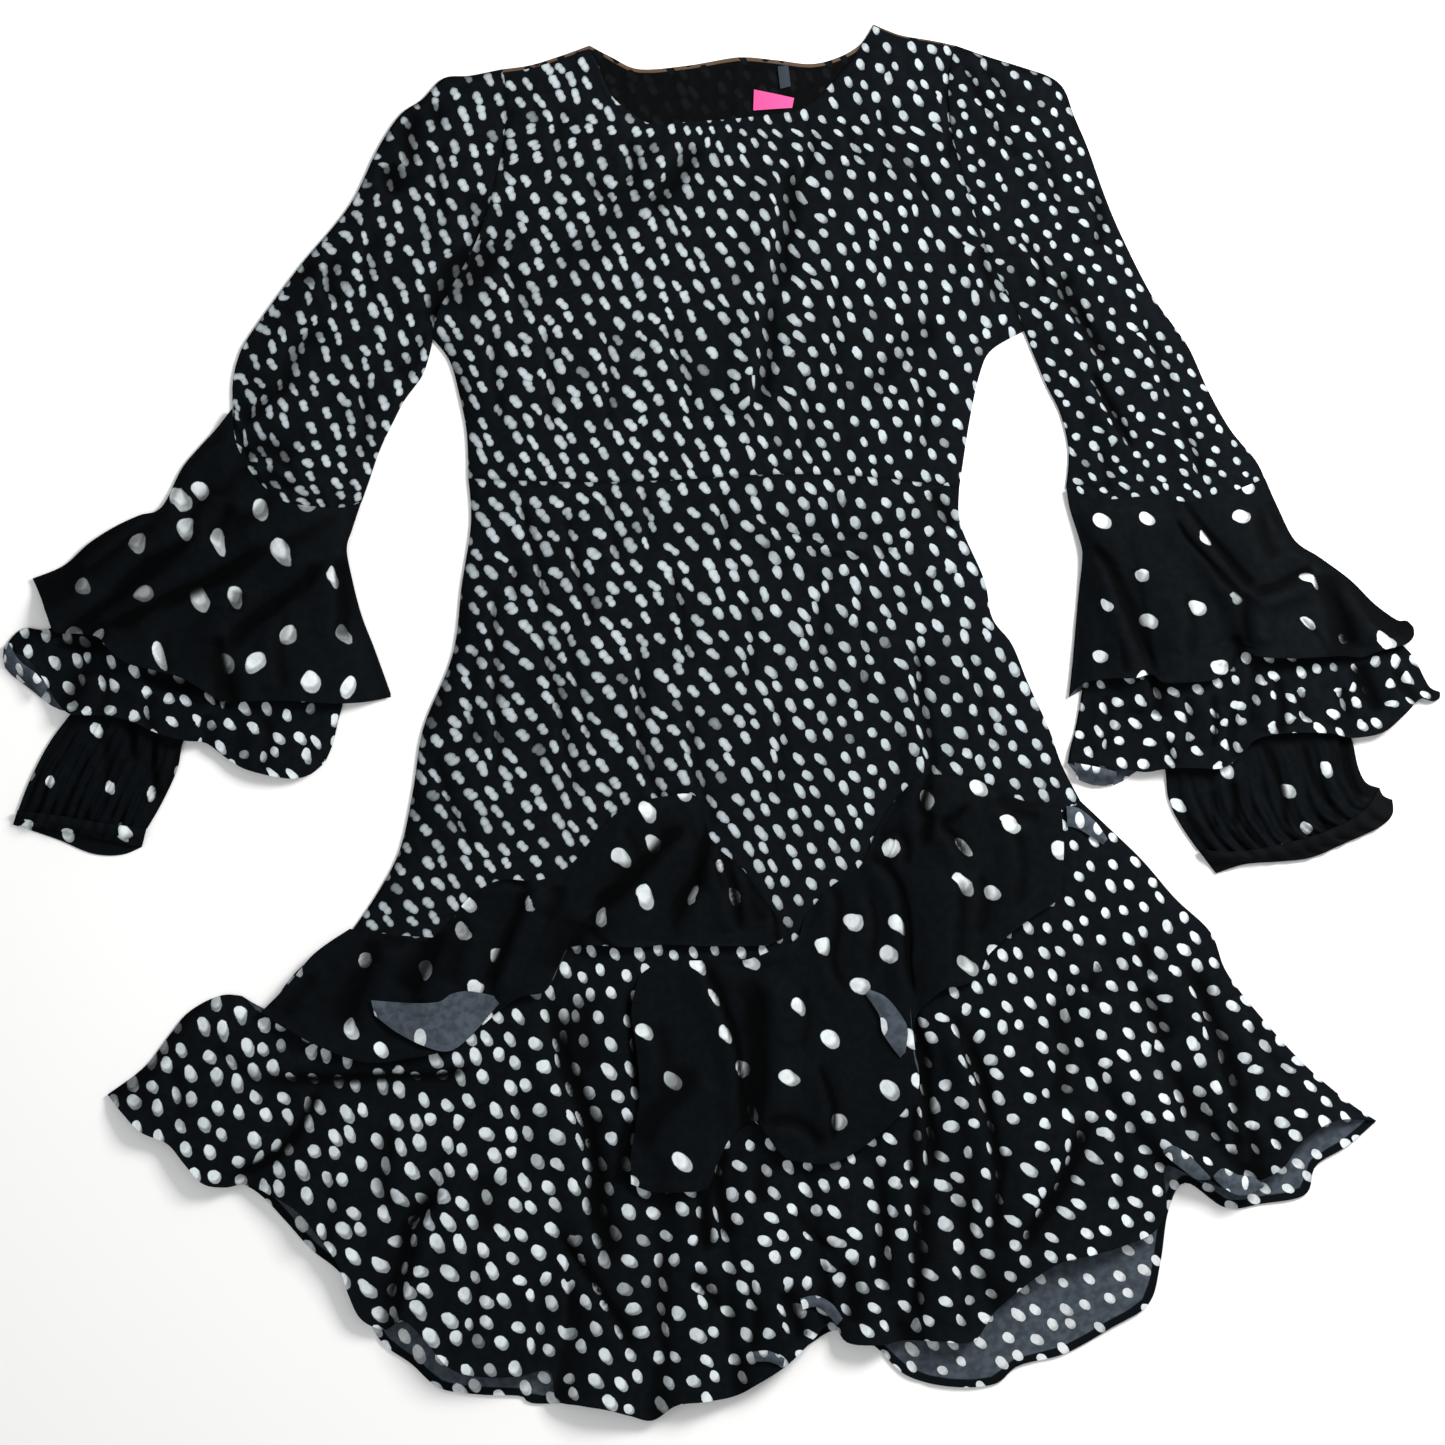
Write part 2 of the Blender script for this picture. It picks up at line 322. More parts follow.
FLOUNCE_FOLDS = [
    ([(-306, -276), (-314, -296), (-326, -315), (-342, -330), (-376, -348)], 4.0, 0.85, 2.6, 5.0),
    ([(-186, -260), (-215, -268), (-250, -268), (-300, -270), (-356, -271)], 3.5, 0.85, 2.6, 3.0),
    ([(-248, -370), (-256, -350), (-252, -330), (-250, -304)], 4.0, 0.6, 2.0, 2.0),
    ([(-258, -456), (-246, -425), (-240, -405), (-236, -385), (-224, -368),
      (-211, -354)], 4.5, 0.9, 3.6, 3.2),
    ([(-134, -200), (-124, -235), (-118, -262), (-107, -292), (-99, -322), (-95, -348), (-96, -368),
      (-88, -398), (-91, -422)], 7.5, 0.97, 5.0, 5.0),
    ([(-112, -205), (-109, -235), (-104, -268)], 9.0, 0.6, 1.6, 0.0),
    ([(-70, -200), (-67, -235), (-65, -262), (-59, -294)], 5.0, 0.9, 2.0, 1.6),
    ([(-69, -298), (-75, -325), (-80, -354)], 5.0, 0.85, 3.0, 2.4),
    ([(-128, -382), (-112, -404), (-98, -424), (-86, -442), (-76, -458),
      (-64, -482)], 3.8, 0.88, 3.4, 3.0),
    ([(-184, -340), (-181, -388)], 7.5, 0.45, 2.2, 1.5),
    ([(-158, -280), (-150, -310), (-146, -345)], 6.0, 0.35, 1.8, 3.0),
    ([(-12, -340), (-14, -370), (-11, -404)], 5.0, 0.85, 4.0, 3.0),
    ([(3, -322), (-4, -345), (0, -372), (5, -396)], 4.0, 0.9, 3.6, 2.6),
    ([(-24, -418), (-12, -430), (0, -446)], 5.0, 0.75, 3.0, 2.0),
    ([(30, -330), (27, -366)], 6.0, 0.5, 2.0, 1.6),
    ([(56, -370), (70, -390), (88, -403)], 3.0, 0.65, 2.0, 2.4),
    ([(91, -410), (99, -430), (97, -458)], 6.5, 0.65, 3.0, 2.4),
    ([(46, -430), (54, -448), (61, -470)], 5.0, 0.9, 3.0, 3.2),
    ([(144, -206), (147, -232), (152, -255), (153, -272), (157, -300), (159, -325),
      (154, -352)], 4.5, 0.95, 4.6, 3.2),
    ([(147, -288), (145, -320), (145, -350)], 4.0, 0.8, 2.6, 1.6),
    ([(153, -346), (149, -385), (148, -415), (146, -460)], 6.0, 0.97, 5.0, 4.2),
    ([(175, -220), (184, -245), (191, -272)], 3.0, 0.6, 2.0, 1.4),
    ([(183, -226), (190, -250), (197, -272), (202, -298), (207, -322), (210, -345), (208, -370),
      (205, -402)], 4.0, 0.92, 4.2, 4.0),
    ([(251, -208), (256, -238), (258, -262), (251, -294)], 6.0, 0.55, 2.4, 2.4),
    ([(278, -294), (272, -316), (265, -334), (256, -352), (245, -370), (234, -386),
      (226, -402)], 5.0, 0.93, 4.6, 4.2),
    ([(318, -166), (325, -194)], 4.0, 0.6, 2.0, 2.0),
    ([(287, -182), (277, -204)], 3.0, 0.6, 2.0, 1.6),
    ([(270, -196), (284, -206), (300, -204)], 3.0, 0.3, 1.6, 1.8),
    ([(319, -200), (328, -224), (338, -244)], 5.0, 0.7, 3.0, 3.0),
    ([(349, -182), (363, -205), (371, -226), (379, -246), (383, -262), (389, -284),
      (391, -308)], 5.2, 0.78, 3.6, 3.2),
    ([(343, -266), (351, -290), (357, -310)], 4.0, 0.55, 2.2, 2.2),
    ([(384, -296), (393, -324)], 3.0, 0.65, 2.0, 1.6),
    ([(371, -302), (378, -324)], 3.0, 0.65, 2.0, 1.6),
    ([(399, -306), (406, -334)], 3.0, 0.65, 2.0, 1.6),
    ([(414, -298), (425, -324)], 3.0, 0.5, 2.0, 1.6),
    ([(400, -228), (414, -250), (432, -272)], 4.0, 0.4, 2.0, 2.4),
    ([(300, -306), (305, -338), (300, -366)], 4.0, 0.4, 2.0, 2.0),
    ([(-386, -246), (-370, -260), (-350, -277)], 3.0, 0.45, 1.8, 2.0),
    ([(-420, -262), (-410, -286), (-414, -310)], 4.0, 0.4, 2.0, 2.6),
    ([(-300, -340), (-296, -370), (-302, -400)], 4.0, 0.35, 2.0, 2.0),
    ([(-190, -400), (-186, -440), (-192, -480)], 4.0, 0.35, 2.0, 2.4),
    ([(-140, -420), (-136, -450), (-142, -490)], 4.0, 0.3, 2.0, 2.4),
    ([(-44, -400), (-48, -440), (-40, -490)], 4.0, 0.45, 2.4, 2.6),
    ([(20, -420), (26, -450), (22, -480)], 3.6, 0.45, 2.2, 2.4),
    ([(118, -330), (122, -380), (116, -430)], 4.0, 0.4, 2.2, 2.4),
    ([(180, -400), (186, -430), (180, -462)], 3.6, 0.4, 2.2, 2.4),
]
OVER_LEFT_FOLDS = [
    ([(-286, -236), (-279, -214), (-272, -196), (-266, -178), (-261, -160)], 6.5, 0.7, 3.0, 3.4),
    ([(-238, -210), (-226, -190), (-218, -172), (-212, -154)], 7.5, 0.8, 3.4, 3.6),
    ([(-205, -200), (-200, -175), (-195, -148)], 5.5, 0.5, 2.0, 2.4),
    ([(-177, -206), (-172, -190), (-166, -175), (-159, -157), (-151, -138),
      (-147, -118)], 3.4, 0.95, 4.0, 4.0),
    ([(-184, -117), (-162, -120), (-144, -126)], 3.0, 0.85, 2.0, 2.0),
    ([(-127, -124), (-126, -138), (-136, -150)], 4.0, 0.5, 2.0, 1.4),
    ([(-120, -194), (-112, -170), (-103, -152)], 11.0, 0.6, 2.4, 2.0),
    ([(-101, -145), (-84, -134), (-70, -121), (-56, -106), (-42, -91), (-26, -80)], 4.4, 0.96, 4.6, 5.0),
    ([(-40, -156), (-28, -136), (-20, -120), (-14, -103), (-8, -86), (-3, -66)], 4.0, 0.96, 4.0, 4.0),
    ([(-1, -94), (6, -116), (10, -134), (13, -160)], 3.8, 0.88, 3.0, 3.2),
    ([(21, -100), (26, -125), (30, -154)], 8.0, 0.6, 1.8, 0.0),
    ([(27, -104), (35, -128), (40, -148), (42, -170)], 2.2, 0.85, 1.6, 1.4),
    ([(-7, -102), (-2, -116), (1, -128)], 2.0, 0.7, 1.5, 1.2),
    ([(-102, -156), (-90, -166), (-80, -178)], 3.0, 0.7, 2.0, 1.6),
    ([(-258, -168), (-238, -168)], 4.5, 0.5, 1.8, 1.2),
    ([(-310, -190), (-322, -208), (-334, -222)], 4.0, 0.35, 1.8, 1.8),
    ([(-74, -80), (-66, -96), (-62, -112)], 3.0, 0.4, 1.6, 1.4),
]
OVER_RIGHT_FOLDS = [
    ([(-17, -172), (-8, -195), (0, -212), (6, -228), (11, -246), (14, -268), (15, -292),
      (13, -318)], 3.0, 0.96, 4.0, 2.6),
    ([(19, -318), (25, -288), (28, -255), (27, -225), (23, -192)], 7.5, 0.88, 4.0, 3.4),
    ([(-64, -326), (-50, -302), (-36, -286), (-20, -262)], 8.5, 0.58, 2.8, 3.0),
    ([(73, -258), (81, -280), (85, -298), (83, -318)], 2.4, 0.82, 2.0, 1.8),
    ([(79, -116), (88, -135), (88, -155), (84, -175), (86, -190), (97, -208)], 3.0, 0.62, 2.0, 2.2),
    ([(117, -96), (132, -84), (141, -96), (137, -110)], 3.0, 0.6, 2.0, 1.6),
    ([(106, -101), (124, -110), (134, -124), (139, -142), (141, -165), (142, -188),
      (148, -212)], 3.2, 0.95, 4.0, 3.4),
    ([(161, -26), (156, -48), (152, -66), (156, -77), (150, -98)], 4.0, 0.88, 3.0, 3.0),
    ([(189, -60), (176, -72), (168, -78), (178, -90), (187, -107)], 3.0, 0.82, 2.4, 2.6),
    ([(208, -57), (222, -68), (242, -75)], 4.0, 0.5, 2.0, 1.6),
    ([(196, -114), (199, -138), (194, -162)], 3.0, 0.5, 2.0, 1.6),
    ([(182, -118), (180, -155), (179, -190)], 3.0, 0.5, 2.0, 1.6),
    ([(34, -305), (52, -303), (66, -310), (75, -324)], 4.0, 0.7, 2.0, 2.4),
    ([(-50, -230), (-44, -256), (-48, -284)], 4.0, 0.3, 1.8, 2.0),
    ([(60, -200), (64, -226), (58, -250)], 3.0, 0.3, 1.6, 1.8),
    ([(112, -130), (116, -160), (110, -190)], 3.0, 0.35, 1.8, 1.8),
    ([(224, -84), (228, -110), (222, -140)], 3.0, 0.4, 1.8, 1.8),
]
SLEEVE_LEFT_FOLDS = [
    ([(-232, 464), (-239, 445), (-236, 420)], 5.5, 0.7, 2.2, 1.6),
    ([(-220, 470), (-216, 450)], 4.5, 0.6, 1.8, 1.2),
    ([(-254, 424), (-250, 400)], 7.0, 0.8, 2.2, 1.6),
    ([(-190, 402), (-186, 378), (-189, 352)], 8.0, 0.5, 1.4, 0.8),
    ([(-186, 360), (-204, 340), (-214, 325), (-224, 302)], 9.5, 1.0, 4.6, 3.4),
    ([(-310, 350), (-319, 334)], 7.0, 0.7, 2.2, 1.6),
    ([(-295, 354), (-300, 330), (-291, 318)], 4.5, 0.6, 2.0, 2.0),
    ([(-298, 304), (-322, 285), (-330, 268), (-335, 246)], 5.5, 0.62, 2.2, 2.2),
    ([(-366, 226), (-348, 240), (-332, 258)], 4.5, 0.6, 2.0, 2.0),
    ([(-368, 200), (-345, 205), (-326, 194)], 6.5, 0.7, 2.6, 2.6),
    ([(-350, 190), (-338, 180), (-322, 178)], 5.0, 0.6, 2.0, 2.0),
    ([(-242, 258), (-232, 275), (-225, 296)], 4.0, 0.5, 1.8, 1.2),
    ([(-262, 372), (-270, 350), (-266, 326)], 4.0, 0.4, 1.8, 1.8),
    ([(-212, 440), (-216, 410), (-210, 380)], 3.6, 0.4, 1.8, 1.6),
    ([(-276, 260), (-270, 230), (-278, 200)], 3.6, 0.4, 1.8, 1.8),
]
SLEEVE_RIGHT_FOLDS = [
    ([(190, 364), (200, 348), (208, 330), (222, 308)], 3.0, 0.8, 2.2, 2.0),
    ([(282, 404), (286, 380), (283, 360)], 3.8, 0.7, 2.0, 1.8),
    ([(264, 346), (258, 326), (268, 312), (280, 292), (291, 270)], 5.0, 0.88, 3.2, 2.8),
    ([(280, 267), (288, 250), (296, 236), (302, 224), (313, 205)], 3.0, 0.95, 3.0, 3.0),
    ([(184, 500), (192, 480), (204, 460)], 3.0, 0.5, 2.0, 1.8),
    ([(198, 498), (212, 476), (222, 458)], 3.0, 0.45, 2.0, 1.8),
    ([(204, 454), (214, 440), (226, 428)], 3.0, 0.45, 1.8, 1.6),
    ([(240, 440), (250, 414), (252, 390)], 3.0, 0.35, 1.6, 1.6),
    ([(320, 300), (334, 272), (338, 246)], 3.6, 0.35, 1.8, 2.0),
    ([(346, 230), (358, 206), (364, 184)], 3.4, 0.45, 1.8, 2.0),
    ([(286, 208), (292, 190), (290, 176)], 3.4, 0.4, 1.6, 1.6),
    ([(228, 366), (240, 350), (244, 330)], 3.0, 0.4, 1.6, 1.6),
]
FLARE_LEFT_FOLDS = [
    ([(-392, 146), (-420, 128), (-440, 118), (-465, 92), (-490, 72), (-502, 60)], 4.0, 0.75, 2.6, 3.2),
    ([(-336, 138), (-370, 118), (-396, 104), (-410, 98), (-432, 88), (-452, 78),
      (-476, 70)], 4.8, 0.88, 3.4, 4.0),
    ([(-296, 124), (-325, 100), (-345, 85), (-365, 70), (-373, 52)], 5.5, 0.78, 3.0, 3.2),
    ([(-368, 6), (-374, 30), (-378, 48), (-379, 68)], 5.5, 0.95, 4.0, 3.4),
    ([(-365, 100), (-371, 82)], 4.6, 0.6, 2.0, 1.4),
    ([(-428, 154), (-460, 130), (-484, 110)], 4.0, 0.62, 2.2, 2.4),
    ([(-370, 166), (-388, 138)], 5.0, 0.5, 2.0, 1.8),
    ([(-309, 120), (-316, 102)], 4.6, 0.6, 2.0, 1.4),
    ([(-290, 128), (-289, 100), (-288, 80), (-291, 60)], 5.0, 0.72, 3.0, 2.4),
    ([(-292, 158), (-312, 144), (-334, 134)], 3.6, 0.5, 2.0, 2.0),
    ([(-340, 174), (-352, 158), (-372, 150)], 3.6, 0.5, 2.0, 2.0),
    ([(-330, 80), (-336, 52), (-332, 24)], 3.6, 0.35, 2.0, 2.2),
    ([(-420, 70), (-424, 52), (-418, 36)], 3.6, 0.35, 1.8, 2.0),
]
FLARE_RIGHT_FOLDS = [
    ([(348, 172), (362, 150), (376, 132), (392, 112), (404, 99)], 3.0, 0.92, 3.0, 2.6),
    ([(343, 156), (352, 140), (368, 122), (382, 106), (398, 90)], 2.5, 0.78, 2.2, 2.0),
    ([(278, 138), (292, 120), (300, 104), (308, 84), (316, 64), (328, 38)], 4.4, 0.82, 3.4, 3.2),
    ([(301, 64), (306, 36)], 2.2, 0.6, 1.6, 1.4),
    ([(401, 96), (422, 102), (438, 112), (450, 115)], 3.0, 0.88, 2.6, 4.4),
    ([(454, 114), (464, 92), (470, 75), (475, 52)], 7.5, 0.92, 4.0, 4.2),
    ([(408, 166), (410, 140), (419, 122)], 4.0, 0.55, 2.0, 1.8),
    ([(413, 168), (426, 146)], 3.0, 0.4, 1.6, 1.4),
    ([(386, 66), (391, 54), (388, 40)], 4.6, 0.92, 3.0, 2.4),
    ([(399, 56), (396, 80), (399, 98)], 3.0, 0.75, 2.2, 3.2),
    ([(312, 116), (310, 96)], 4.6, 0.4, 1.6, 1.4),
    ([(438, 80), (452, 64), (461, 50)], 1.8, 0.6, 1.4, 1.2),
    ([(350, 100), (356, 74), (352, 50)], 3.4, 0.35, 1.8, 2.0),
    ([(486, 92), (496, 76), (508, 66)], 3.4, 0.4, 1.8, 2.0),
]
TIER_LEFT_FOLDS = [
    ([(-444, 36), (-425, 28), (-405, 28), (-385, 24), (-372, 8)], 4.6, 0.7, 2.6, 2.0),
    ([(-506, 58), (-485, 58), (-466, 62)], 4.6, 0.75, 2.4, 2.0),
    ([(-470, 40), (-466, 20), (-474, 4)], 3.4, 0.5, 2.2, 2.4),
    ([(-432, 22), (-436, 4), (-428, -8)], 3.4, 0.5, 2.2, 2.4),
    ([(-392, 6), (-388, -10), (-394, -20)], 3.4, 0.55, 2.2, 2.4),
    ([(-348, 4), (-344, -16), (-350, -38)], 3.4, 0.45, 2.2, 2.4),
]
TIER_RIGHT_FOLDS = [
    ([(325, 38), (330, 20), (328, 4)], 4.6, 0.72, 2.6, 2.4),
    ([(372, 22), (374, 0), (371, -20)], 2.2, 0.82, 2.0, 1.8),
    ([(405, 44), (402, 20), (400, -4)], 3.0, 0.55, 2.2, 2.4),
    ([(420, 34), (424, 10), (421, -10)], 4.0, 0.75, 3.0, 3.0),
    ([(436, 26), (441, 0)], 3.0, 0.55, 2.0, 2.0),
    ([(481, 44), (488, 25), (498, 6)], 5.4, 0.88, 3.2, 3.2),
    ([(469, 26), (475, 2)], 3.6, 0.62, 2.4, 2.4),
    ([(335, -12), (345, -34)], 2.2, 0.6, 1.8, 1.6),
    ([(290, 22), (294, 0), (290, -24)], 3.0, 0.4, 2.0, 2.2),
    ([(352, 20), (354, 0), (350, -24)], 2.8, 0.45, 2.0, 2.2),
    ([(510, 40), (518, 24), (530, 14)], 3.4, 0.5, 2.2, 2.2),
    ([(388, 10), (386, -12), (390, -30)], 2.8, 0.5, 2.0, 2.2),
]
CUFF_LEFT_FOLDS = [
    ([(-446, 4), (-447, -14), (-445, -30)], 2.6, 0.9, 1.4, 1.0),
    ([(-429, -8), (-431, -34), (-427, -60)], 3.0, 0.85, 1.4, 1.0),
    ([(-470, -8), (-466, -30), (-468, -50)], 2.6, 0.5, 1.2, 0.8),
    ([(-412, -20), (-418, -44), (-422, -66)], 2.6, 0.5, 1.2, 0.8),
]
CUFF_RIGHT_FOLDS = [
    ([(410, -14), (424, -50), (429, -82)], 2.6, 0.85, 1.4, 1.0),
    ([(386, -44), (390, -62), (389, -80)], 2.8, 0.8, 1.4, 1.0),
    ([(440, -14), (450, -45), (464, -66)], 2.8, 0.75, 1.4, 1.0),
    ([(470, -10), (476, -40), (486, -60)], 3.4, 0.8, 1.6, 1.0),
    ([(370, -50), (374, -70), (372, -84)], 2.4, 0.5, 1.2, 0.8),
    ([(452, -70), (458, -78), (460, -84)], 2.4, 0.6, 1.2, 0.8),
]

# Places where a hem or an edge is turned and shows its reverse, by its upper and lower edge.
TURNS = {
    "upper_flounce_left": [
        ([(-265, -211), (-236, -213), (-214, -212), (-204, -206), (-190, -204), (-172, -208)],
         [(-262, -222), (-247, -234), (-225, -245), (-206, -249), (-190, -238), (-168, -213)]),
    ],
    "upper_flounce_right": [
        ([(112, -203), (124, -208), (134, -219), (141, -232), (139, -250)],
         [(110, -207), (120, -222), (122, -234), (128, -244), (136, -254)]),
    ],
    "front_lower_flounce": [
        ([(262, -64), (272, -66), (284, -76), (293, -89)],
         [(263, -79), (271, -81), (281, -87), (290, -93)]),
        ([(38, -313), (46, -314), (53, -324)], [(40, -322), (46, -326), (51, -331)]),
        ([(335, -325), (342, -321), (353, -327), (363, -337), (370, -345)],
         [(335, -326), (341, -332), (350, -339), (360, -346), (370, -346)]),
        ([(373, -344), (380, -338), (391, -343), (403, -345), (411, -351)],
         [(373, -345), (380, -352), (391, -358), (402, -357), (411, -352)]),
        ([(60, -437), (72, -435), (84, -441), (92, -452)],
         [(62, -445), (72, -443), (81, -449), (88, -457)]),
        ([(24, -477), (36, -476), (48, -482)], [(26, -484), (37, -484), (47, -488)]),
    ],
    "left_under_flounce": [
        ([(-541, 60), (-532, 46), (-520, 37), (-511, 25)],
         [(-545, 46), (-536, 38), (-526, 28), (-515, 19)]),
    ],
    "right_under_flounce": [
        ([(268, -31), (284, -34), (300, -38)], [(270, -43), (284, -48), (298, -47)]),
    ],
}

# The pieces: name, how the print lies, cloth of its face and reverse, slot, then the width and
# length it is cut to in metres, its area in square metres, how it is held, what it lies on.
CUTS = {
    "back_bodice": ("bodice_back", "bodice", "body body_reverse", "reverse_cloth",
                    0.45, 0.35, 0.122, "laid", "floor"),
    "front_bodice": ("bodice_front", "bodice", "body body_reverse", "dense_dot_cloth",
                     0.46, 0.36, 0.122, "laid", "bodice_back"),
    "back_skirt": ("skirt_back", "skirt", "body body_reverse", "dense_dot_cloth",
                   0.55, 0.36, 0.150, "laid", "floor"),
    "front_skirt": ("skirt_front", "skirt", "body body_reverse", "dense_dot_cloth",
                    0.56, 0.37, 0.156, "laid", "skirt_back"),
    "back_lower_flounce": ("lower_flounce_back", "lower", "middle middle_reverse", "reverse_cloth",
                           1.00, 0.45, 0.270, "laid", "floor"),
    "front_lower_flounce": ("lower_flounce_front", "lower", "middle middle_reverse",
                            "middle_dot_cloth", 1.15, 0.45, 0.290, "laid", "lower_flounce_back"),
    "upper_flounce_left": ("over_flounce_left", "over_left", "sparse sparse_reverse",
                           "sparse_dot_cloth", 0.42, 0.16, 0.044, "gathered",
                           "lower_flounce_front"),
    "upper_flounce_right": ("over_flounce_right", "over_right", "sparse sparse_reverse",
                            "sparse_dot_cloth", 0.46, 0.22, 0.066, "gathered",
                            "lower_flounce_front"),
    "left_sleeve": ("sleeve_left", "sleeve_left", "body body_reverse", "sleeve_cloth",
                    0.27, 0.35, 0.074, "laid", "floor"),
    "right_sleeve": ("sleeve_right", "sleeve_right", "body body_reverse", "sleeve_cloth",
                     0.28, 0.35, 0.077, "laid", "floor"),
    "left_flare": ("flare_left", "flare_left", "sparse sparse_reverse", "sparse_dot_cloth",
                   0.52, 0.20, 0.072, "gathered", "under_flounce_left"),
    "right_flare": ("flare_right", "flare_right", "sparse sparse_reverse", "sparse_dot_cloth",
                    0.48, 0.18, 0.060, "gathered", "under_flounce_right"),
    "left_under_flounce": ("under_flounce_left", "tier_left", "middle middle_reverse",
                           "middle_dot_cloth", 0.62, 0.20, 0.086, "gathered", "cuff_left"),
    "right_under_flounce": ("under_flounce_right", "tier_right", "middle middle_reverse",
                            "middle_dot_cloth", 0.62, 0.20, 0.086, "gathered", "cuff_right"),
    "left_cuff": ("cuff_left", "cuff_left", "sparse sparse_reverse", "sparse_dot_cloth",
                  0.40, 0.16, 0.058, "gathered", "floor"),
    "right_cuff": ("cuff_right", "cuff_right", "sparse sparse_reverse", "sparse_dot_cloth",
                   0.46, 0.18, 0.075, "gathered", "floor"),
    "left_cuff_band": ("cuff_band_left", "cuff_left", "sparse sparse", "binding_cloth",
                       0.20, 0.018, 0.0036, "gathered", "floor"),
    "right_cuff_band": ("cuff_band_right", "cuff_right", "binding binding", "binding_cloth",
                        0.25, 0.019, 0.0046, "gathered", "floor"),
    "neck_label": ("neck_tape", "turned", "pink pink", "pink_label",
                   0.031, 0.014, 0.0004, "laid", "bodice_back"),
    "size_label": ("size_tab", "turned", "grey grey", "grey_label",
                   0.010, 0.0155, 0.00014, "laid", "bodice_back"),
}

# How each print lies: turn in degrees, shift in mm, scale and size of its dots.
PRINTS = {
    "bodice": (0, 0, 0, 1.0, 1.06), "skirt": (-3, 7, 5, 0.96, 1.06),
    "sleeve_left": (10, 31, 12, 0.98, 1.1), "sleeve_right": (-14, 17, 40, 1.1, 0.84),
    "flare_left": (12, 60, 11, 1.02, 1.3), "flare_right": (-22, 23, 31, 1.0, 0.87),
    "tier_left": (8, 3, 9, 1.06, 0.95), "tier_right": (-9, 12, 4, 1.12, 0.9),
    "cuff_left": (12, 9, 21, 1.0, 0.85), "cuff_right": (-12, 30, 14, 1.0, 0.85),
    "over_left": (0, 14, 30, 1.0, 1.03), "over_right": (-14, 41, 8, 0.98, 1.08),
    "lower": (0, 3, 8, 1.0, 1.08), "turned": (30, 11, 19, 1.0, 0.9),
}
# Dots that grow smaller to the right: how much larger they start, how much they lose, where that
# starts and how far it runs.
TAPERS = {"bodice": (0.09, 0.24, -110, 240), "skirt": (0.09, 0.15, -110, 240),
          "lower": (0.05, 0.24, -260, 360)}
FAN_RADIUS = 1570.0    # the lower flounce's print fans out round a point above the dress
FAN_DROP = 320         # from the dress's middle down to where the fan has its full size


def smooth(points, steps):
    """A smooth run through the points, with the given steps to each stretch."""
    rows = np.array(points, dtype=float)
    before = np.vstack([rows[:1], rows[:-2]])
    after = np.vstack([rows[2:], rows[-1:]])
    start, end = rows[:-1], rows[1:]
    t = (np.arange(steps) / steps)[:, None, None]
    run = 0.5 * (2 * start + (end - before) * t
                 + (2 * before - 5 * start + 4 * end - after) * t ** 2
                 + (3 * start - before - 3 * end + after) * t ** 3)
    return np.vstack([run.transpose(1, 0, 2).reshape(-1, rows.shape[1]), rows[-1:]])


def spread(points, count):
    """Evenly spaced points along a smooth run."""
    fine = smooth(points, 8)
    along = np.concatenate([[0], np.cumsum(np.hypot(*np.diff(fine[:, :2], axis=0).T))])
    goal = np.linspace(0, along[-1], count + 1)
    return np.stack([np.interp(goal, along, fine[:, k]) for k in range(fine.shape[1])], axis=1)


def run_length(points):
    fine = smooth(points, 4)
    return float(np.hypot(*np.diff(fine[:, :2], axis=0).T).sum())


def between(top, bottom, left, right):
    """Points of a panel held by four edges, rows from top to bottom."""
    u = np.linspace(0, 1, len(top))[None, :, None]
    v = np.linspace(0, 1, len(left))[:, None, None]
    corners = ((1 - u) * (1 - v) * top[0, :2] + u * (1 - v) * top[-1, :2]
               + (1 - u) * v * bottom[0, :2] + u * v * bottom[-1, :2])
    return ((1 - v) * top[None, :, :2] + v * bottom[None, :, :2]
            + (1 - u) * left[:, None, :2] + u * right[:, None, :2] - corners)


def across_and_along(x):
    """How far across and down a grid its columns and rows lie, from 0 to 1."""
    return np.linspace(0, 1, x.shape[1])[None, :], np.linspace(0, 1, x.shape[0])[:, None]


def ease(value):
    value = np.clip(value, 0, 1)
    return value * value * (3 - 2 * value)


def hill(away, width):
    """A round hill that is 1 on its middle and dies out at about twice its width."""
    return np.exp(-(away / width) ** 2)


def fading(away, reach):
    """1 at an edge, fading over the reach."""
    return np.exp(-np.maximum(away, 0) / reach)


def to_stretch(x, y, start, step):
    """Distance of points from a straight stretch, and the share of it that lies before them."""
    (ax, ay), (dx, dy) = start, step
    square = max(math.hypot(dx, dy) ** 2, 1e-9)
    part = np.clip(((x - ax) * dx + (y - ay) * dy) / square, 0, 1)
    return np.hypot(x - ax - dx * part, y - ay - dy * part), part


def away_from(x, y, points, steps=3):
    """Distance of every point from a smooth run."""
    best = np.full(x.shape, FAR)
    run = smooth(points, steps)[:, :2]
    for start, step in zip(run[:-1], np.diff(run, axis=0)):
        best = np.minimum(best, to_stretch(x, y, start, step)[0])
    return best


LATTICE_SIZE = 256
LATTICE = np.random.RandomState(11).uniform(-1, 1, (LATTICE_SIZE, LATTICE_SIZE))


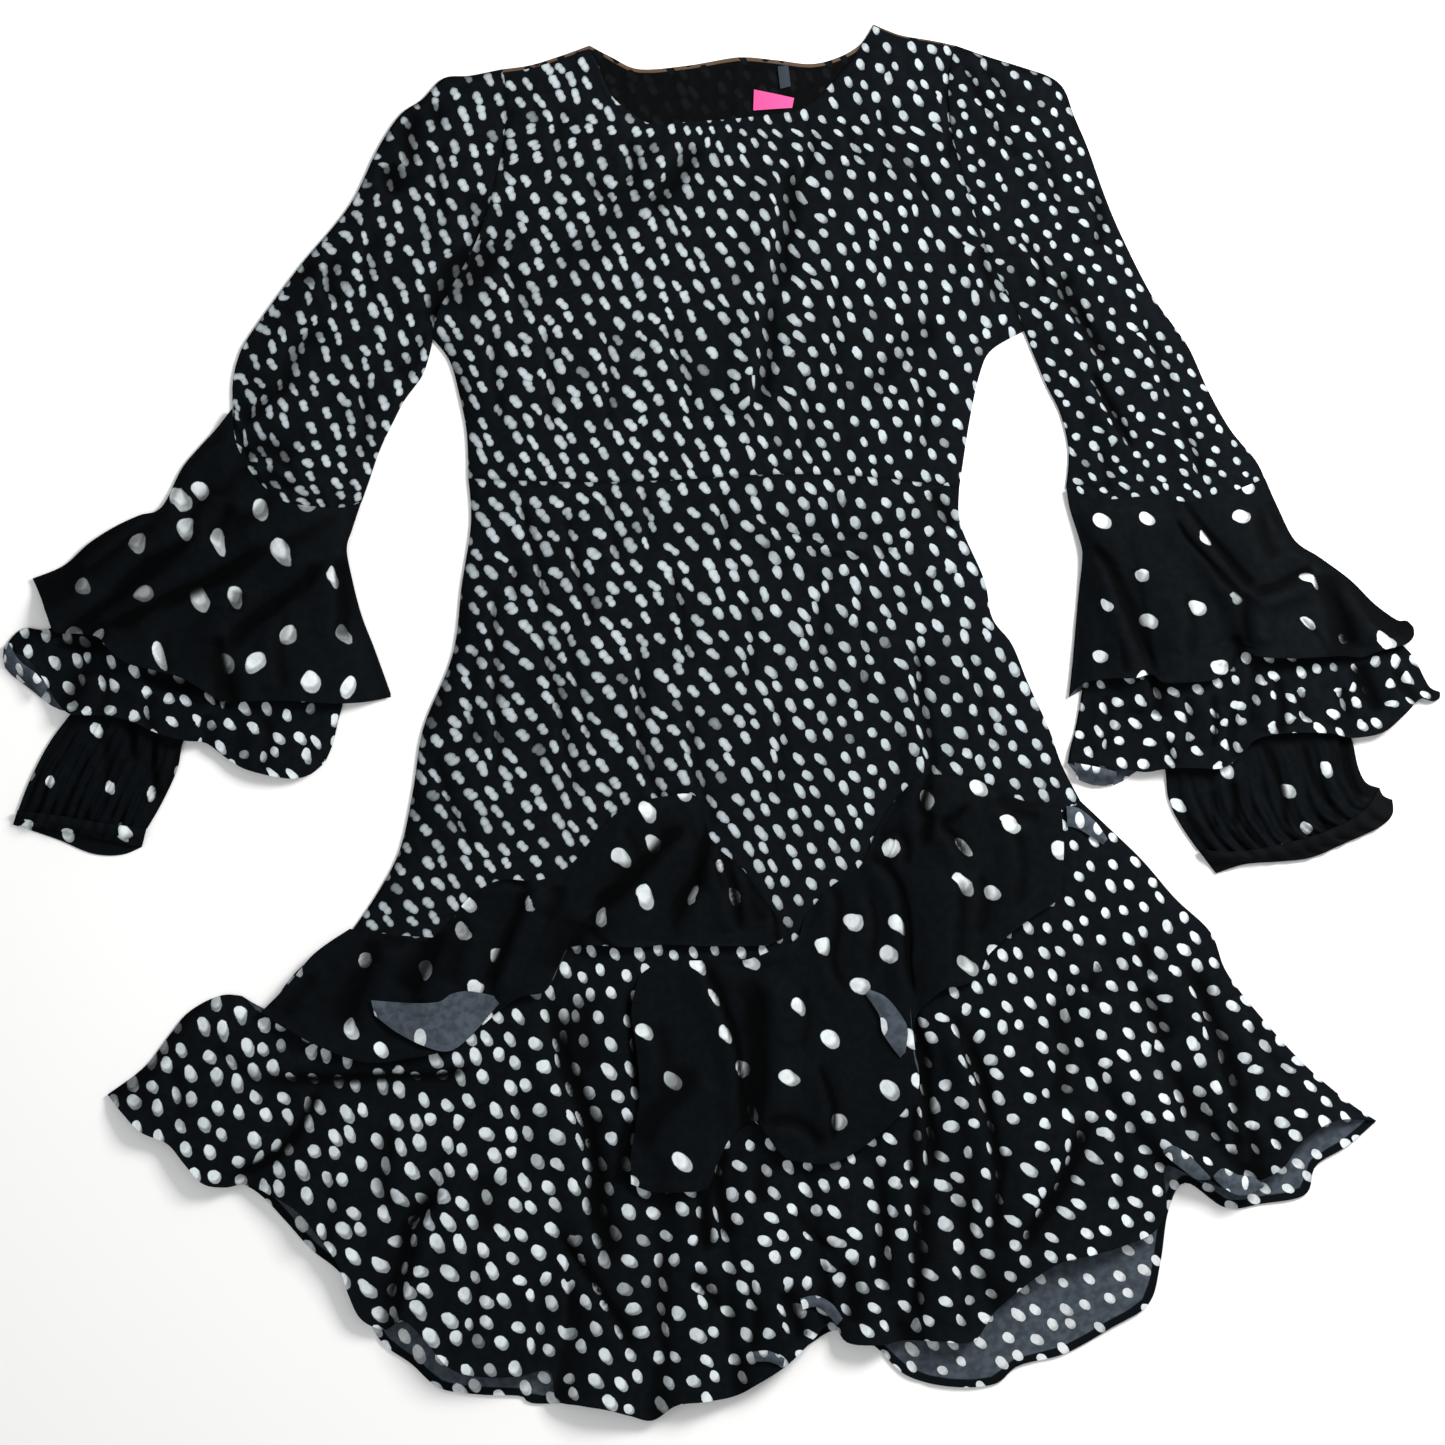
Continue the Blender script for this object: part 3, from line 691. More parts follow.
def wander(x, y, wide, tall, turn=0.0, seed=0):
    """Smooth random field from -1 to 1, with hills of the given width and height in mm."""
    cosine, sine = math.cos(math.radians(turn)), math.sin(math.radians(turn))
    px = (x * cosine + y * sine) / wide + 37.3 * seed + 100
    py = (-x * sine + y * cosine) / tall + 91.7 * seed + 100
    ix, iy = np.floor(px).astype(int), np.floor(py).astype(int)
    fx, fy = px - ix, py - iy
    fx, fy = fx ** 3 * (fx * (fx * 6 - 15) + 10), fy ** 3 * (fy * (fy * 6 - 15) + 10)
    ix, iy = ix % LATTICE_SIZE, iy % LATTICE_SIZE
    jx, jy = (ix + 1) % LATTICE_SIZE, (iy + 1) % LATTICE_SIZE
    low = LATTICE[ix, iy] * (1 - fx) + LATTICE[jx, iy] * fx
    high = LATTICE[ix, jy] * (1 - fx) + LATTICE[jx, jy] * fx
    return low * (1 - fy) + high * fy


def crinkle(x, y, turn=0.0, seed=0, size=1.0):
    """Fine crepe crinkle that runs along the cloth: sharp little crests with hollows between."""
    bent = x + 3.0 * wander(x, y, 30, 60, turn, seed + 5)
    one = 1 - np.abs(wander(bent, y, 9.5 * size, 52 * size, turn, seed + 1))
    two = 1 - np.abs(wander(bent, y, 6.0 * size, 26 * size, turn + 9, seed + 2))
    wide = wander(x, y, 34, 90, turn, seed + 3)
    return one ** 2 + two ** 2 * 0.5 + wide * 0.9 - 0.6


def fold_field(x, y, rows, share=1.0):
    """Height of hand-placed creases, with the cloth they take up (x and y) and their shade."""
    height, take_x, take_y, shade = fields = np.zeros((4,) + x.shape)
    for points, width, dark, depth, ridge in rows:
        # Where the cloth lies by the crease: how near its line, on which side, how far along.
        line = smooth(points, 5)
        low, high = line.min(axis=0) - FOLD_REACH, line.max(axis=0) + FOLD_REACH
        close_by = (x > low[0]) & (x < high[0]) & (y > low[1]) & (y < high[1])
        px, py = x[close_by], y[close_by]
        near = np.full(px.shape, FAR)
        side, place, nx, ny = np.zeros((4,) + px.shape)
        count = len(line) - 1
        for index, ((ax, ay), (dx, dy)) in enumerate(zip(line[:-1], np.diff(line, axis=0))):
            away, part = to_stretch(px, py, (ax, ay), (dx, dy))
            span = math.hypot(dx, dy)
            closer = away < near
            near = np.where(closer, away, near)
            side = np.where(closer, ((px - ax) * -dy + (py - ay) * dx) / span, side)
            place = np.where(closer, (index + part) / count, place)
            nx = np.where(closer, -dy / span, nx)
            ny = np.where(closer, dx / span, ny)
        # A trough on the line and a ridge along its right, uneven and dying out at the ends.
        beyond = np.sqrt(np.maximum(near ** 2 - side ** 2, 0))
        fade = ease(place / FOLD_END) * ease((1 - place) / FOLD_END)
        uneven = 1 + 0.35 * wander(px, py, 17, 17, 0, 21)
        own = 1.15 * width * uneven * (0.55 + 0.45 * fade)
        ends = hill(beyond, width * 1.5)
        crest = hill(side + (1.5 * width + 3.5), width + 4.5) * ends
        height[close_by] += fade * (ridge * crest - depth * hill(near, own))
        # Shade: a soft flank round a dark core.
        flank = np.where(side < 0, RIDGE_FLANK, FAR_FLANK)
        soft = 0.42 * hill(near, (2.2 * width + 5) * flank)
        core = np.exp(-(near / (own * 1.5 * flank)) ** 4)
        deep = min(0.08 + 1.12 * dark, 1.0) * share
        shade[close_by] = np.maximum(shade[close_by], deep * fade ** 0.6 * np.maximum(soft, core))
        # The print drawn in from both sides.
        slip = (1.0 + 0.4 * depth) * fade * np.tanh(side / (0.8 * width)) * hill(near, FOLD_PULL)
        take_x[close_by] += slip * ends * nx
        take_y[close_by] += slip * ends * ny
    return height, fields[1:]


# What lies on the floor so far, as the height of its top face over a grid of cells.
stack = np.zeros((int(2 * SPAN_X / CELL) + 1, int(2 * SPAN_Y / CELL) + 1))


def cell_of(x, y):
    ix = np.clip(np.rint((x + SPAN_X) / CELL).astype(int), 1, stack.shape[0] - 2)
    iy = np.clip(np.rint((y + SPAN_Y) / CELL).astype(int), 1, stack.shape[1] - 2)
    return ix, iy


def note_layer(x, y, z):
    """Adds a layer's face to the record of what lies below."""
    ix, iy = cell_of(x, y)
    for dx in (-1, 0, 1):
        for dy in (-1, 0, 1):
            np.maximum.at(stack, (ix + dx, iy + dy), z)


def widened(field, passes):
    """The highest of each cell and those round it."""
    for _ in range(passes):
        grown = field.copy()
        for shift in ((1, 0), (-1, 0), (0, 1), (0, -1)):
            grown = np.maximum(grown, np.roll(field, shift, (0, 1)))
        field = grown
    return field


def evened(z, own=0):
    """Each point drawn to its four neighbours, its own height counting as many as given."""
    padded = np.pad(z, 1, mode="edge")
    around = padded[:-2, 1:-1] + padded[2:, 1:-1] + padded[1:-1, :-2] + padded[1:-1, 2:]
    return (around + own * z) / (4 + own)


def lie_on(x, y, least, passes=10, ease_by=2):
    """Face heights of a layer: clear of all below it, eased as cloth eases over an edge."""
    below = widened(stack, ease_by)[cell_of(x, y)]
    need = np.maximum(np.where(below > 0, below + LAYER, 0), least)
    z = need.copy()
    for _ in range(passes):
        z = np.maximum(need, evened(z))
    return evened(evened(z, 2), 2)


EDGES = [LEFT["sleeve_outer"], LEFT["sleeve_inner"], RIGHT["sleeve_outer"], RIGHT["sleeve_inner"],
         SHOULDER_LEFT, SHOULDER_RIGHT, NECK_FRONT, SIDE_LEFT, SIDE_RIGHT, HIP_LEFT, HIP_RIGHT,
         FLOUNCE_LEFT, FLOUNCE_RIGHT, LEFT["flare_outer"], LEFT["flare_inner"],
         RIGHT["flare_outer"], RIGHT["flare_inner"]]


def crown(x, y):
    """Swell of the front over the back, and the distance to the nearest edge."""
    distance = np.min([away_from(x, y, run, 2) for run in EDGES], axis=0)
    return CROWN * (1 - fading(distance, CROWN_RUN)), distance


def front_face(x, y, relief, edge_run=14, dip=0.0, least=(1.3, 0.2)):
    """Face of a front panel: its relief dies out toward the edges, and it never sinks too low."""
    swell, edge = crown(x, y)
    damp = ease(edge / edge_run)
    return np.maximum(FRONT + swell + relief * damp + dip, least[0] + least[1] * damp)


# Materials.
def node(tree, kind, inputs=None, **settings):
    """A node with its settings, each input linked to an output or set to a constant."""
    made = tree.nodes.new(kind)
    for name, value in settings.items():
        setattr(made, name, value)
    for socket, value in (inputs or {}).items():
        if isinstance(value, bpy.types.NodeSocket):
            tree.links.new(value, made.inputs[socket])
        else:
            made.inputs[socket].default_value = value
    return made


def math_of(tree, operation, *values):
    return node(tree, "ShaderNodeMath", dict(enumerate(values)), operation=operation).outputs[0]


def vector_of(tree, operation, *vectors):
    return node(tree, "ShaderNodeVectorMath", dict(enumerate(vectors)),
                operation=operation).outputs[0]


def length_of(tree, vector):
    made = node(tree, "ShaderNodeVectorMath", {0: vector}, operation="LENGTH")
    return made.outputs["Value"]


def parts_of(tree, vector):
    return node(tree, "ShaderNodeSeparateXYZ", {0: vector}).outputs


def eased_range(tree, value, low, high):
    made = node(tree, "ShaderNodeMapRange", {"Value": value, "From Min": low, "From Max": high},
                interpolation_type="SMOOTHSTEP")
    return made.outputs["Result"]


def noise(tree, vector, scale, detail, dimensions="3D"):
    return node(tree, "ShaderNodeTexNoise", {"Vector": vector, "Scale": scale, "Detail": detail},
                noise_dimensions=dimensions).outputs


def blended(tree, amount, one, two):
    """A value that goes from one to the other."""
    change = math_of(tree, "SUBTRACT", two, one)
    return math_of(tree, "ADD", one, math_of(tree, "MULTIPLY", amount, change))


def mixed(tree, amount, *tones):
    """A colour between two tones."""
    one, two = (tone + (1.0,) if isinstance(tone, tuple) else tone for tone in tones)
    return node(tree, "ShaderNodeMix", {0: amount, 6: one, 7: two}, data_type="RGBA").outputs[2]


def toned(colour, share):
    return tuple(min(part * share, 1.0) for part in colour)


def sheared(tree, vector, amount):
    """A vector moved sideways by its own height times the amount."""
    across, along, _ = parts_of(tree, vector)
    aside = math_of(tree, "MULTIPLY_ADD", along, amount, across)
    return node(tree, "ShaderNodeCombineXYZ", {0: aside, 1: along}).outputs[0]


def started_material(name, rough, shine):
    """A new material and its node tree."""
    material = bpy.data.materials.new(name)
    material.use_nodes = True
    tree = material.node_tree
    shader = tree.nodes["Principled BSDF"]
    shader.inputs["Roughness"].default_value = rough
    shader.inputs["Specular IOR Level"].default_value = shine
    return material, tree


def place_on(tree):
    """The place of each point on the piece."""
    return node(tree, "ShaderNodeTexCoord").outputs["Object"]


def finish_material(tree, colour, relief, strength, depth):
    """Gives the shader its colour, and the relief as a bump."""
    shader = tree.nodes["Principled BSDF"]
    bump = node(tree, "ShaderNodeBump", {"Height": relief, "Strength": strength,
                                         "Distance": depth})
    tree.links.new(colour, shader.inputs["Base Color"])
    tree.links.new(bump.outputs[0], shader.inputs["Normal"])


def dot_lay(tree, coords, place, dots, loose):
    """Leaning dots in loose slanting lines, each of two lobes that run together; the small ones
    give way to single ovals toward the right. Gives where the dots are, where they are brushed
    out, and a chance for each dot."""
    (across, along), head, tail, squash, _, ragged = dots
    slant = math.tan(LEAN)
    scaled = vector_of(tree, "MULTIPLY", sheared(tree, coords, slant),
                       (1 / (across * MM), 1 / (along * MM), 0))
    cells = node(tree, "ShaderNodeTexVoronoi",
                 {"Vector": scaled, "Scale": 1.0, "Randomness": loose},
                 voronoi_dimensions="2D", feature="F1").outputs
    arm = vector_of(tree, "SUBTRACT", scaled, cells["Position"])
    arm = sheared(tree, vector_of(tree, "MULTIPLY", arm, (across, along, 0)), -slant)
    chances = node(tree, "ShaderNodeSeparateColor", {0: cells["Color"]}).outputs
    spin = math_of(tree, "MULTIPLY_ADD", chances[1], DOT_SPIN, -DOT_SPIN / 2 - LEAN)
    leaned = node(tree, "ShaderNodeVectorRotate", {"Vector": arm, "Angle": spin},
                  rotation_type="Z_AXIS").outputs[0]
    stretch = math_of(tree, "MULTIPLY_ADD", chances[2], *DOT_STRETCH)
    own_length = node(tree, "ShaderNodeCombineXYZ", {0: 1.0, 1: stretch}).outputs[0]
    oval = vector_of(tree, "MULTIPLY", leaned, (1.0, squash, 0.0))
    oval = vector_of(tree, "MULTIPLY", oval, own_length)
    size = math_of(tree, "MULTIPLY_ADD", chances[0], *DOT_SIZE)
    size = math_of(tree, "MULTIPLY", size, parts_of(tree, coords)[2])
    lobes = []
    for middle, radius in (head, tail):
        reach = length_of(tree, vector_of(tree, "SUBTRACT", oval, middle + (0,)))
        lobes.append(math_of(tree, "DIVIDE", reach, radius))
    reach = math_of(tree, "SMOOTH_MIN", *lobes, LOBES_MELT)
    radius = head[1]
    small = radius < SINGLE_RADIUS
    if small:
        radius = SINGLE_RADIUS
        oval = vector_of(tree, "MULTIPLY", oval, (1.0, SINGLE_SQUASH, 0.0))
        to_right = eased_range(tree, parts_of(tree, place)[0], *TO_SINGLE)
        whole = math_of(tree, "DIVIDE", length_of(tree, oval), radius)
        reach = blended(tree, to_right, reach, whole)
    lumps = noise(tree, coords, LUMPS, 1.0, "2D")["Fac"]
    lumpy = math_of(tree, "MULTIPLY_ADD", lumps, ragged, 1 - ragged / 2)
    ratio = math_of(tree, "DIVIDE", math_of(tree, "MULTIPLY", reach, lumpy), size)
    from_lit = vector_of(tree, "SUBTRACT", oval, (-0.15 * radius, 0.5 * radius, 0.0))
    brushed = eased_range(tree, length_of(tree, from_lit), 0.78 * radius, 1.3 * radius)
    if small:
        brushed = blended(tree, to_right, eased_range(tree, ratio, 0.35, 1.1), brushed)
    return eased_range(tree, ratio, 1.02, 0.9), brushed, chances[2]


def cloth_material(name, dots, ground, white, left_over=0.4, loose=0.62, mottle=0.14, edge=None):
    """Printed crepe: dots of white brushed out to grey, pushed about where the cloth crinkles.
    left_over is what brushing leaves of the white, loose how far the dots stray from their lines,
    mottle how uneven the ground is; an edge is its width and its tone."""
    material, tree = started_material(name, 0.8, 0.03)
    place = place_on(tree)
    crush = dots[4]
    coords = node(tree, "ShaderNodeAttribute", attribute_name="cloth").outputs["Vector"]
    long_way = vector_of(tree, "MULTIPLY", coords, (1.0, 0.3, 1.0))
    ripple = noise(tree, long_way, RIPPLES, 2.0, "2D")
    pushed = vector_of(tree, "SUBTRACT", ripple["Color"], (0.5, 0.5, 0.5))
    pushed = vector_of(tree, "MULTIPLY", pushed, (PUSH_X * crush, PUSH_Y * crush, 0.0))
    warped = vector_of(tree, "ADD", coords, pushed)
    inside, brushed, chance = dot_lay(tree, warped, place, dots, loose)

    # Dots: bright or dull by patches, brushed out to grey, with bristle marks.
    dull = eased_range(tree, noise(tree, place, DULL_PATCHES, 3.0)["Fac"], 0.36, 0.6)
    bright = mixed(tree, dull, toned(white, 0.8), white)
    pale = mixed(tree, dull, toned(white, 0.7 * left_over), toned(white, 1.3 * left_over))
    dot_tone = mixed(tree, brushed, bright, pale)
    bristle = noise(tree, long_way, BRISTLES, 1.0, "2D")["Fac"]
    strength = math_of(tree, "MULTIPLY_ADD", bristle, 0.5, 0.75)
    dot_tone = mixed(tree, strength, (0.0, 0.0, 0.0), dot_tone)

    # Ground: mottled, with an edge of another tone where there is one.
    patchy = eased_range(tree, noise(tree, place, MOTTLES, 4.0)["Fac"], 0.34, 0.66)
    cloth_tone = mixed(tree, patchy, toned(ground, 1 - mottle), toned(ground, 1 + mottle))
    if edge is not None:
        width, edge_tone = edge
        from_hem = node(tree, "ShaderNodeAttribute", attribute_name="hem").outputs["Fac"]
        past_edge = eased_range(tree, from_hem, width * 0.9, width * 1.1)
        cloth_tone = mixed(tree, past_edge, edge_tone, cloth_tone)
    worn = math_of(tree, "GREATER_THAN", chance, WORN_FROM)
    worn = math_of(tree, "MULTIPLY", worn, WORN_SHARE)
    dot_tone = mixed(tree, worn, dot_tone, cloth_tone)
    colour = mixed(tree, inside, cloth_tone, dot_tone)
    dim = node(tree, "ShaderNodeAttribute", attribute_name="dim").outputs["Fac"]
    colour = mixed(tree, dim, colour, toned(ground, 0.13))

    threads = noise(tree, place, THREADS, 2.0)["Fac"]
    relief = math_of(tree, "MULTIPLY_ADD", threads, 0.25, ripple["Fac"])
    finish_material(tree, colour, relief, 0.3, 1.6 * MM)
    shader = tree.nodes["Principled BSDF"]
    shader.inputs["Sheen Weight"].default_value = 0.004
    shader.inputs["Sheen Roughness"].default_value = 0.4
    return material


def plain_material(name, colour, rough, shine):
    """Plain tape or binding with a fine grain."""
    material, tree = started_material(name, rough, shine)
    grain = noise(tree, place_on(tree), GRAIN, 2.0)["Fac"]
    finish_material(tree, mixed(tree, grain, toned(colour, 0.8), toned(colour, 1.15)), grain,
                    0.2, 0.5 * MM)
    return material


BLACK = (0.0025, 0.0037, 0.0050)
DEEP = (0.0022, 0.0032, 0.0042)
INSIDE = (0.0017, 0.0019, 0.0022)
REVERSE = (0.045, 0.056, 0.070)
BROWN = (0.085, 0.055, 0.036)
MATERIALS = {
    "body": cloth_material("body_print", SMALL, BLACK, (0.40, 0.455, 0.485), loose=0.46),
    "body_reverse": cloth_material("body_reverse", SMALL, INSIDE, (0.0046, 0.005, 0.0054), 0.6,
                                   edge=(2.7, BROWN)),
    "middle": cloth_material("middle_print", MIDDLE, BLACK, (0.58, 0.64, 0.67), 0.36, 0.45),
    "middle_reverse": cloth_material("middle_reverse", MIDDLE, REVERSE, (0.60, 0.64, 0.66), 0.6,
                                     0.55, 0.24, (6.0, BLACK)),
    "sparse": cloth_material("sparse_print", LARGE, DEEP, (0.64, 0.69, 0.71), loose=0.7),
    "sparse_reverse": cloth_material("sparse_reverse", LARGE, REVERSE, (0.5, 0.54, 0.56), 0.6,
                                     0.7, 0.24),
    "binding": plain_material("binding", (0.0034, 0.0037, 0.0044), 0.85, 0.03),
    "pink": plain_material("pink_tape", (0.62, 0.07, 0.25), 0.45, 0.2),
    "grey": plain_material("grey_tape", (0.028, 0.036, 0.046), 0.7, 0.05),
}


def add_object(name, data, place=(0, 0, 0)):
    made = bpy.data.objects.new(name, data)
    made.location = place
    bpy.context.scene.collection.objects.link(made)
    return made


def add_grid(shape, layers, fields, turned, closed):
    """A grid of cloth moved onto its points; a turned one shows its reverse to above."""
    rows, columns = fields.shape[1:]
    made = bmesh.ops.create_grid(shape, x_segments=columns - 1, y_segments=rows - 1, size=1.0)
    cloth_layer, hem_layer, dim_layer = layers
    for vertex in made["verts"]:
        column = round((vertex.co.x + 1) / 2 * (columns - 1))
        row = round((1 - vertex.co.y) / 2 * (rows - 1))
        x, y, z, print_x, print_y, dot_size, hem, dim = fields[:, row, column]
        vertex.co = (x * MM, y * MM, z * MM)
        vertex[cloth_layer] = (print_x * MM, print_y * MM, dot_size)
        vertex[hem_layer] = hem
        vertex[dim_layer] = dim
    faces = {face for vertex in made["verts"] for face in vertex.link_faces}
    for face in faces:
        face.smooth = True
    if turned:
        bmesh.ops.reverse_faces(shape, faces=list(faces))
    if closed:
        bmesh.ops.remove_doubles(shape, verts=made["verts"], dist=0.02 * MM)


def make_piece(node_name, grids, thickness=SHELL):
    """A named piece of cloth from one or more grids, a thin shell on its solid's form."""
    name, _, faces, slot_name = CUTS[node_name][:4]
    shape = bmesh.new()
    layers = (shape.verts.layers.float_vector.new("cloth"), shape.verts.layers.float.new("hem"),
              shape.verts.layers.float.new("dim"))
    for grid in grids:
        add_grid(shape, layers, *grid)
    for line in shape.edges:
        line.smooth = not line.is_boundary
    mesh = bpy.data.meshes.new(name)
    shape.to_mesh(mesh)
    shape.free()
    for material in faces.split():
        mesh.materials.append(MATERIALS[material])
    piece = add_object(name, mesh)
    shell = piece.modifiers.new("shell", "SOLIDIFY")
    shell.thickness = thickness * MM
    shell.offset = -1.0
    shell.use_quality_normals = True
    shell.material_offset = 1
    shell.material_offset_rim = 0
    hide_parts(node_name)
    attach(piece, "root")


def smoothed(field, size):
    """A field averaged over the given number of columns to each side."""
    padded = np.pad(field, ((0, 0), (size, size)), mode="edge")
    total = np.cumsum(padded, axis=1)
    return (total[:, 2 * size:] - total[:, :-2 * size])[:, :field.shape[1]] / (2 * size)


def printed(kind, x, y, z, take_x, take_y):
    """Print coordinates of a piece: cloth on a slope is seen shortened, so is its print."""
    # Across: the extra cloth on slopes shifts the print, evened out so that it doesn't drift.
    step_x, step_y = np.gradient(x, axis=1), np.gradient(y, axis=1)
    step = np.hypot(step_x, step_y) + 1e-6
    slope = np.abs(np.gradient(z, axis=1)) / step
    extra = np.minimum(2.6 * slope ** 2, 1.4)
    slip = np.cumsum(np.maximum(extra - smoothed(extra, 14), -0.15) * step, axis=1)
    slip -= slip.mean(axis=1, keepdims=True)
    # Down: the same along each column.
    down_step = np.hypot(np.gradient(x, axis=0), np.gradient(y, axis=0)) + 1e-6
    down = np.abs(np.gradient(z, axis=0)) / down_step
    drop = np.cumsum(np.minimum(1.2 * down ** 2, 0.8) * down_step, axis=0)
    drop -= smoothed(drop, 10)
    ax, ay = step_x / step, step_y / step
    px = x + take_x + slip * ax + drop * ay
    py = y + take_y + slip * ay - drop * ax
    turn, shift_x, shift_y, scale, dot_size = PRINTS[kind]
    sizes = np.full(x.shape, dot_size)
    if kind in TAPERS:
        more, less, start, run = TAPERS[kind]
        sizes += more - less * ease((x - start) / run)
    if kind == "lower":
        rise = FAN_RADIUS - FAN_DROP - py
        return np.arctan2(px, rise) * FAN_RADIUS + shift_x, shift_y - np.hypot(px, rise), sizes
    cosine, sine = scale * math.cos(math.radians(turn)), scale * math.sin(math.radians(turn))
    return px * cosine - py * sine + shift_x, px * sine + py * cosine + shift_y, sizes


def creases(z):
    """How dark each point lies for being lower than the cloth round it."""
    mean = evened(evened(evened(z, 2), 2), 2)
    for _ in range(3):
        mean = smoothed(mean, 2)
    return 0.75 * ease((mean - z - 0.25) / 1.6)


def sheet_grid(kind, x, y, z, take=None, hem=None, turned=False):
    """A grid of cloth with its print, its distance to the hem and how dark it lies."""
    take_x, take_y, shade = np.zeros((3,) + x.shape) if take is None else take
    from_hem = np.full(x.shape, FAR_FROM_HEM) if hem is None else hem
    fields = (x, y, z, *printed(kind, x, y, z, take_x, take_y), from_hem,
              np.maximum(creases(z), shade))
    return np.stack(fields), turned, False


def tube_grid(kind, front, front_z, back, back_z, take, hem):
    """Front and back of a flattened sleeve part joined round its sides into one grid."""
    ahead = sheet_grid(kind, front[..., 0], front[..., 1], front_z, take, hem)[0]
    behind = sheet_grid(kind, back[..., 0], back[..., 1], back_z)[0]
    joined = np.concatenate([ahead, behind[..., -2:0:-1], ahead[..., :1]], axis=2)
    across, down = front[-1, -1] - front[0, 0], front[-1, 0] - front[0, -1]
    return joined, bool(across[0] * down[1] > across[1] * down[0]), True


def rolled(x, length):
    """A narrow rolled hem along a grid's last row, and the distance to that hem."""
    from_hem = (1 - across_and_along(x)[1]) * length + 0 * x
    return HEM_HEIGHT * hill(from_hem - HEM_WIDTH / 2, HEM_WIDTH), from_hem


def waves_of(hem, x):
    """Waves of a hem's own rise, dying out up the cloth."""
    return hem[None, :, 2] * across_and_along(x)[1] ** 1.5


def tucked(x, y, seam):
    """How far the edge of a piece sinks where it is tucked under its neighbour at a seam."""
    return -0.12 * hill(away_from(x, y, seam), 1.3)


def shade_seams(take, x, y, *seams):
    """Darkens the cloth where it dips into a join."""
    for seam in seams:
        np.maximum(take[2], 0.5 * hill(away_from(x, y, seam), 1.2), out=take[2])


def turned_parts(node_name):
    """The parts of a piece's edges that are turned back over it and show their reverse."""
    parts = []
    for upper, lower in TURNS.get(node_name, []):
        count = max(int(run_length(upper) / TURN_STEP), 6)
        top, bottom = spread(upper, count), spread(lower, count)
        rows = max(int(np.hypot(*(top - bottom).T).max() / TURN_STEP), 4)
        v = np.linspace(0, 1, rows + 1)[:, None, None]
        grid = (1 - v) * top[None] + v * bottom[None]
        x, y = grid[..., 0], grid[..., 1]
        z = lie_on(x, y, FRONT, 4, 1) + TURN_BULGE * np.sin(math.pi * v[..., 0] ** 0.6) + 0.3
        parts.append(sheet_grid("turned", x, y, z - SHELL, turned=True))
    return parts


def lay_panel(node_name, x, y, z, take=None, hem=None):
    """Lays a panel with its turned parts; a back panel shows its reverse."""
    note_layer(x, y, z)
    turned = node_name.startswith("back")
    grid = sheet_grid(CUTS[node_name][1], x, y, z - SHELL * turned, take, hem, turned)
    make_piece(node_name, [grid] + turned_parts(node_name))


def make_bodice(waist):
    """Bodice, gathered at the neck in front, seamed down the middle of the back."""
    left, right = (np.vstack([spread(armhole, ARMHOLE_ROWS), spread(side, SIDE_ROWS)[1:]])
                   for armhole, side in ((ARMHOLE_LEFT, SIDE_LEFT), (ARMHOLE_RIGHT, SIDE_RIGHT)))
    count = len(waist) - 1
    shoulder_left, shoulder_right = (int(count * share) for share in SHOULDER_SHARES)
    neck = count - shoulder_left - shoulder_right

    def panel(neck_edge):
        top = np.vstack([spread(SHOULDER_LEFT, shoulder_left), spread(neck_edge, neck)[1:],
                         spread(SHOULDER_RIGHT, shoulder_right)[1:]])
        return np.moveaxis(between(top, waist, left, right), 2, 0)

    # Back: the top of its seam, and the facing round its neck pressed through.
    x, y = panel(NECK_BACK)
    seam = hill(x - BACK_SEAM, 2.0) * ease((y - 420) / 30)
    edge_away = away_from(x, y, SHOULDER_LEFT + NECK_BACK[1:] + SHOULDER_RIGHT[1:])
    facing = hill(edge_away - 7, 1.2) * 0.5
    z = BACK + seam + facing + 0.5 * np.abs(wander(x, y, 14, 40, 0, 3))
    lay_panel("back_bodice", x, y, z, hem=edge_away)

    # Front: set down a little at the shoulders, and gathered below the neck, which crowds the
    # print there.
    x, y = panel(NECK_FRONT)
    for shoulder, drop in ((SHOULDER_LEFT, 2.6), (SHOULDER_RIGHT, 1.4)):
        y = y - drop * hill(away_from(x, y, shoulder), 14)
    fold, take = fold_field(x, y, BODICE_FOLDS, 0.72)
    neck_away = away_from(x, y, NECK_FRONT)
    gathered = fading(neck_away - 3, 17) * ease((74 - np.abs(x - 4)) / 30)
    gathers = 1.5 * np.cos(x * 0.62 + 2.4 * wander(x, y, 16, 60, 0, 7)) * gathered
    take[0] += 20 * np.tanh((x + 4) / 40) * fading(NECK_LOW - y, 42)
    take[1] += 6 * fading(NECK_LOW - y, 10)
    shade_seams(take, x, y, ARMHOLE_LEFT, ARMHOLE_RIGHT, WAIST)
    z = front_face(x, y, fold + gathers + CRINKLE * crinkle(x, y, 4, 1))
    z += 0.7 * hill(neck_away - 2.2, 1.8)
    lay_panel("front_bodice", x, y, z, take, neck_away)


def make_skirt(waist):
    """Fitted skirt from the waist to the V of the drop seam."""
    skirt = between(waist + (0, TUCK), spread(DROP_SEAM, len(waist) - 1),
                    spread(HIP_LEFT, HIP_ROWS), spread(HIP_RIGHT, HIP_ROWS))
    x, y = skirt[::2, ::2, 0], skirt[::2, ::2, 1]
    lay_panel("back_skirt", x, y, BACK + 0.4 * np.abs(wander(x, y, 20, 50, 0, 4)))
    x, y = skirt[..., 0], skirt[..., 1]
    fold, take = fold_field(x, y, SKIRT_FOLDS, 0.8)
    shade_seams(take, x, y, WAIST)
    z = front_face(x, y, fold + CRINKLE * crinkle(x, y, 4, 1), dip=tucked(x, y, WAIST))
    lay_panel("front_skirt", x, y, z, take)


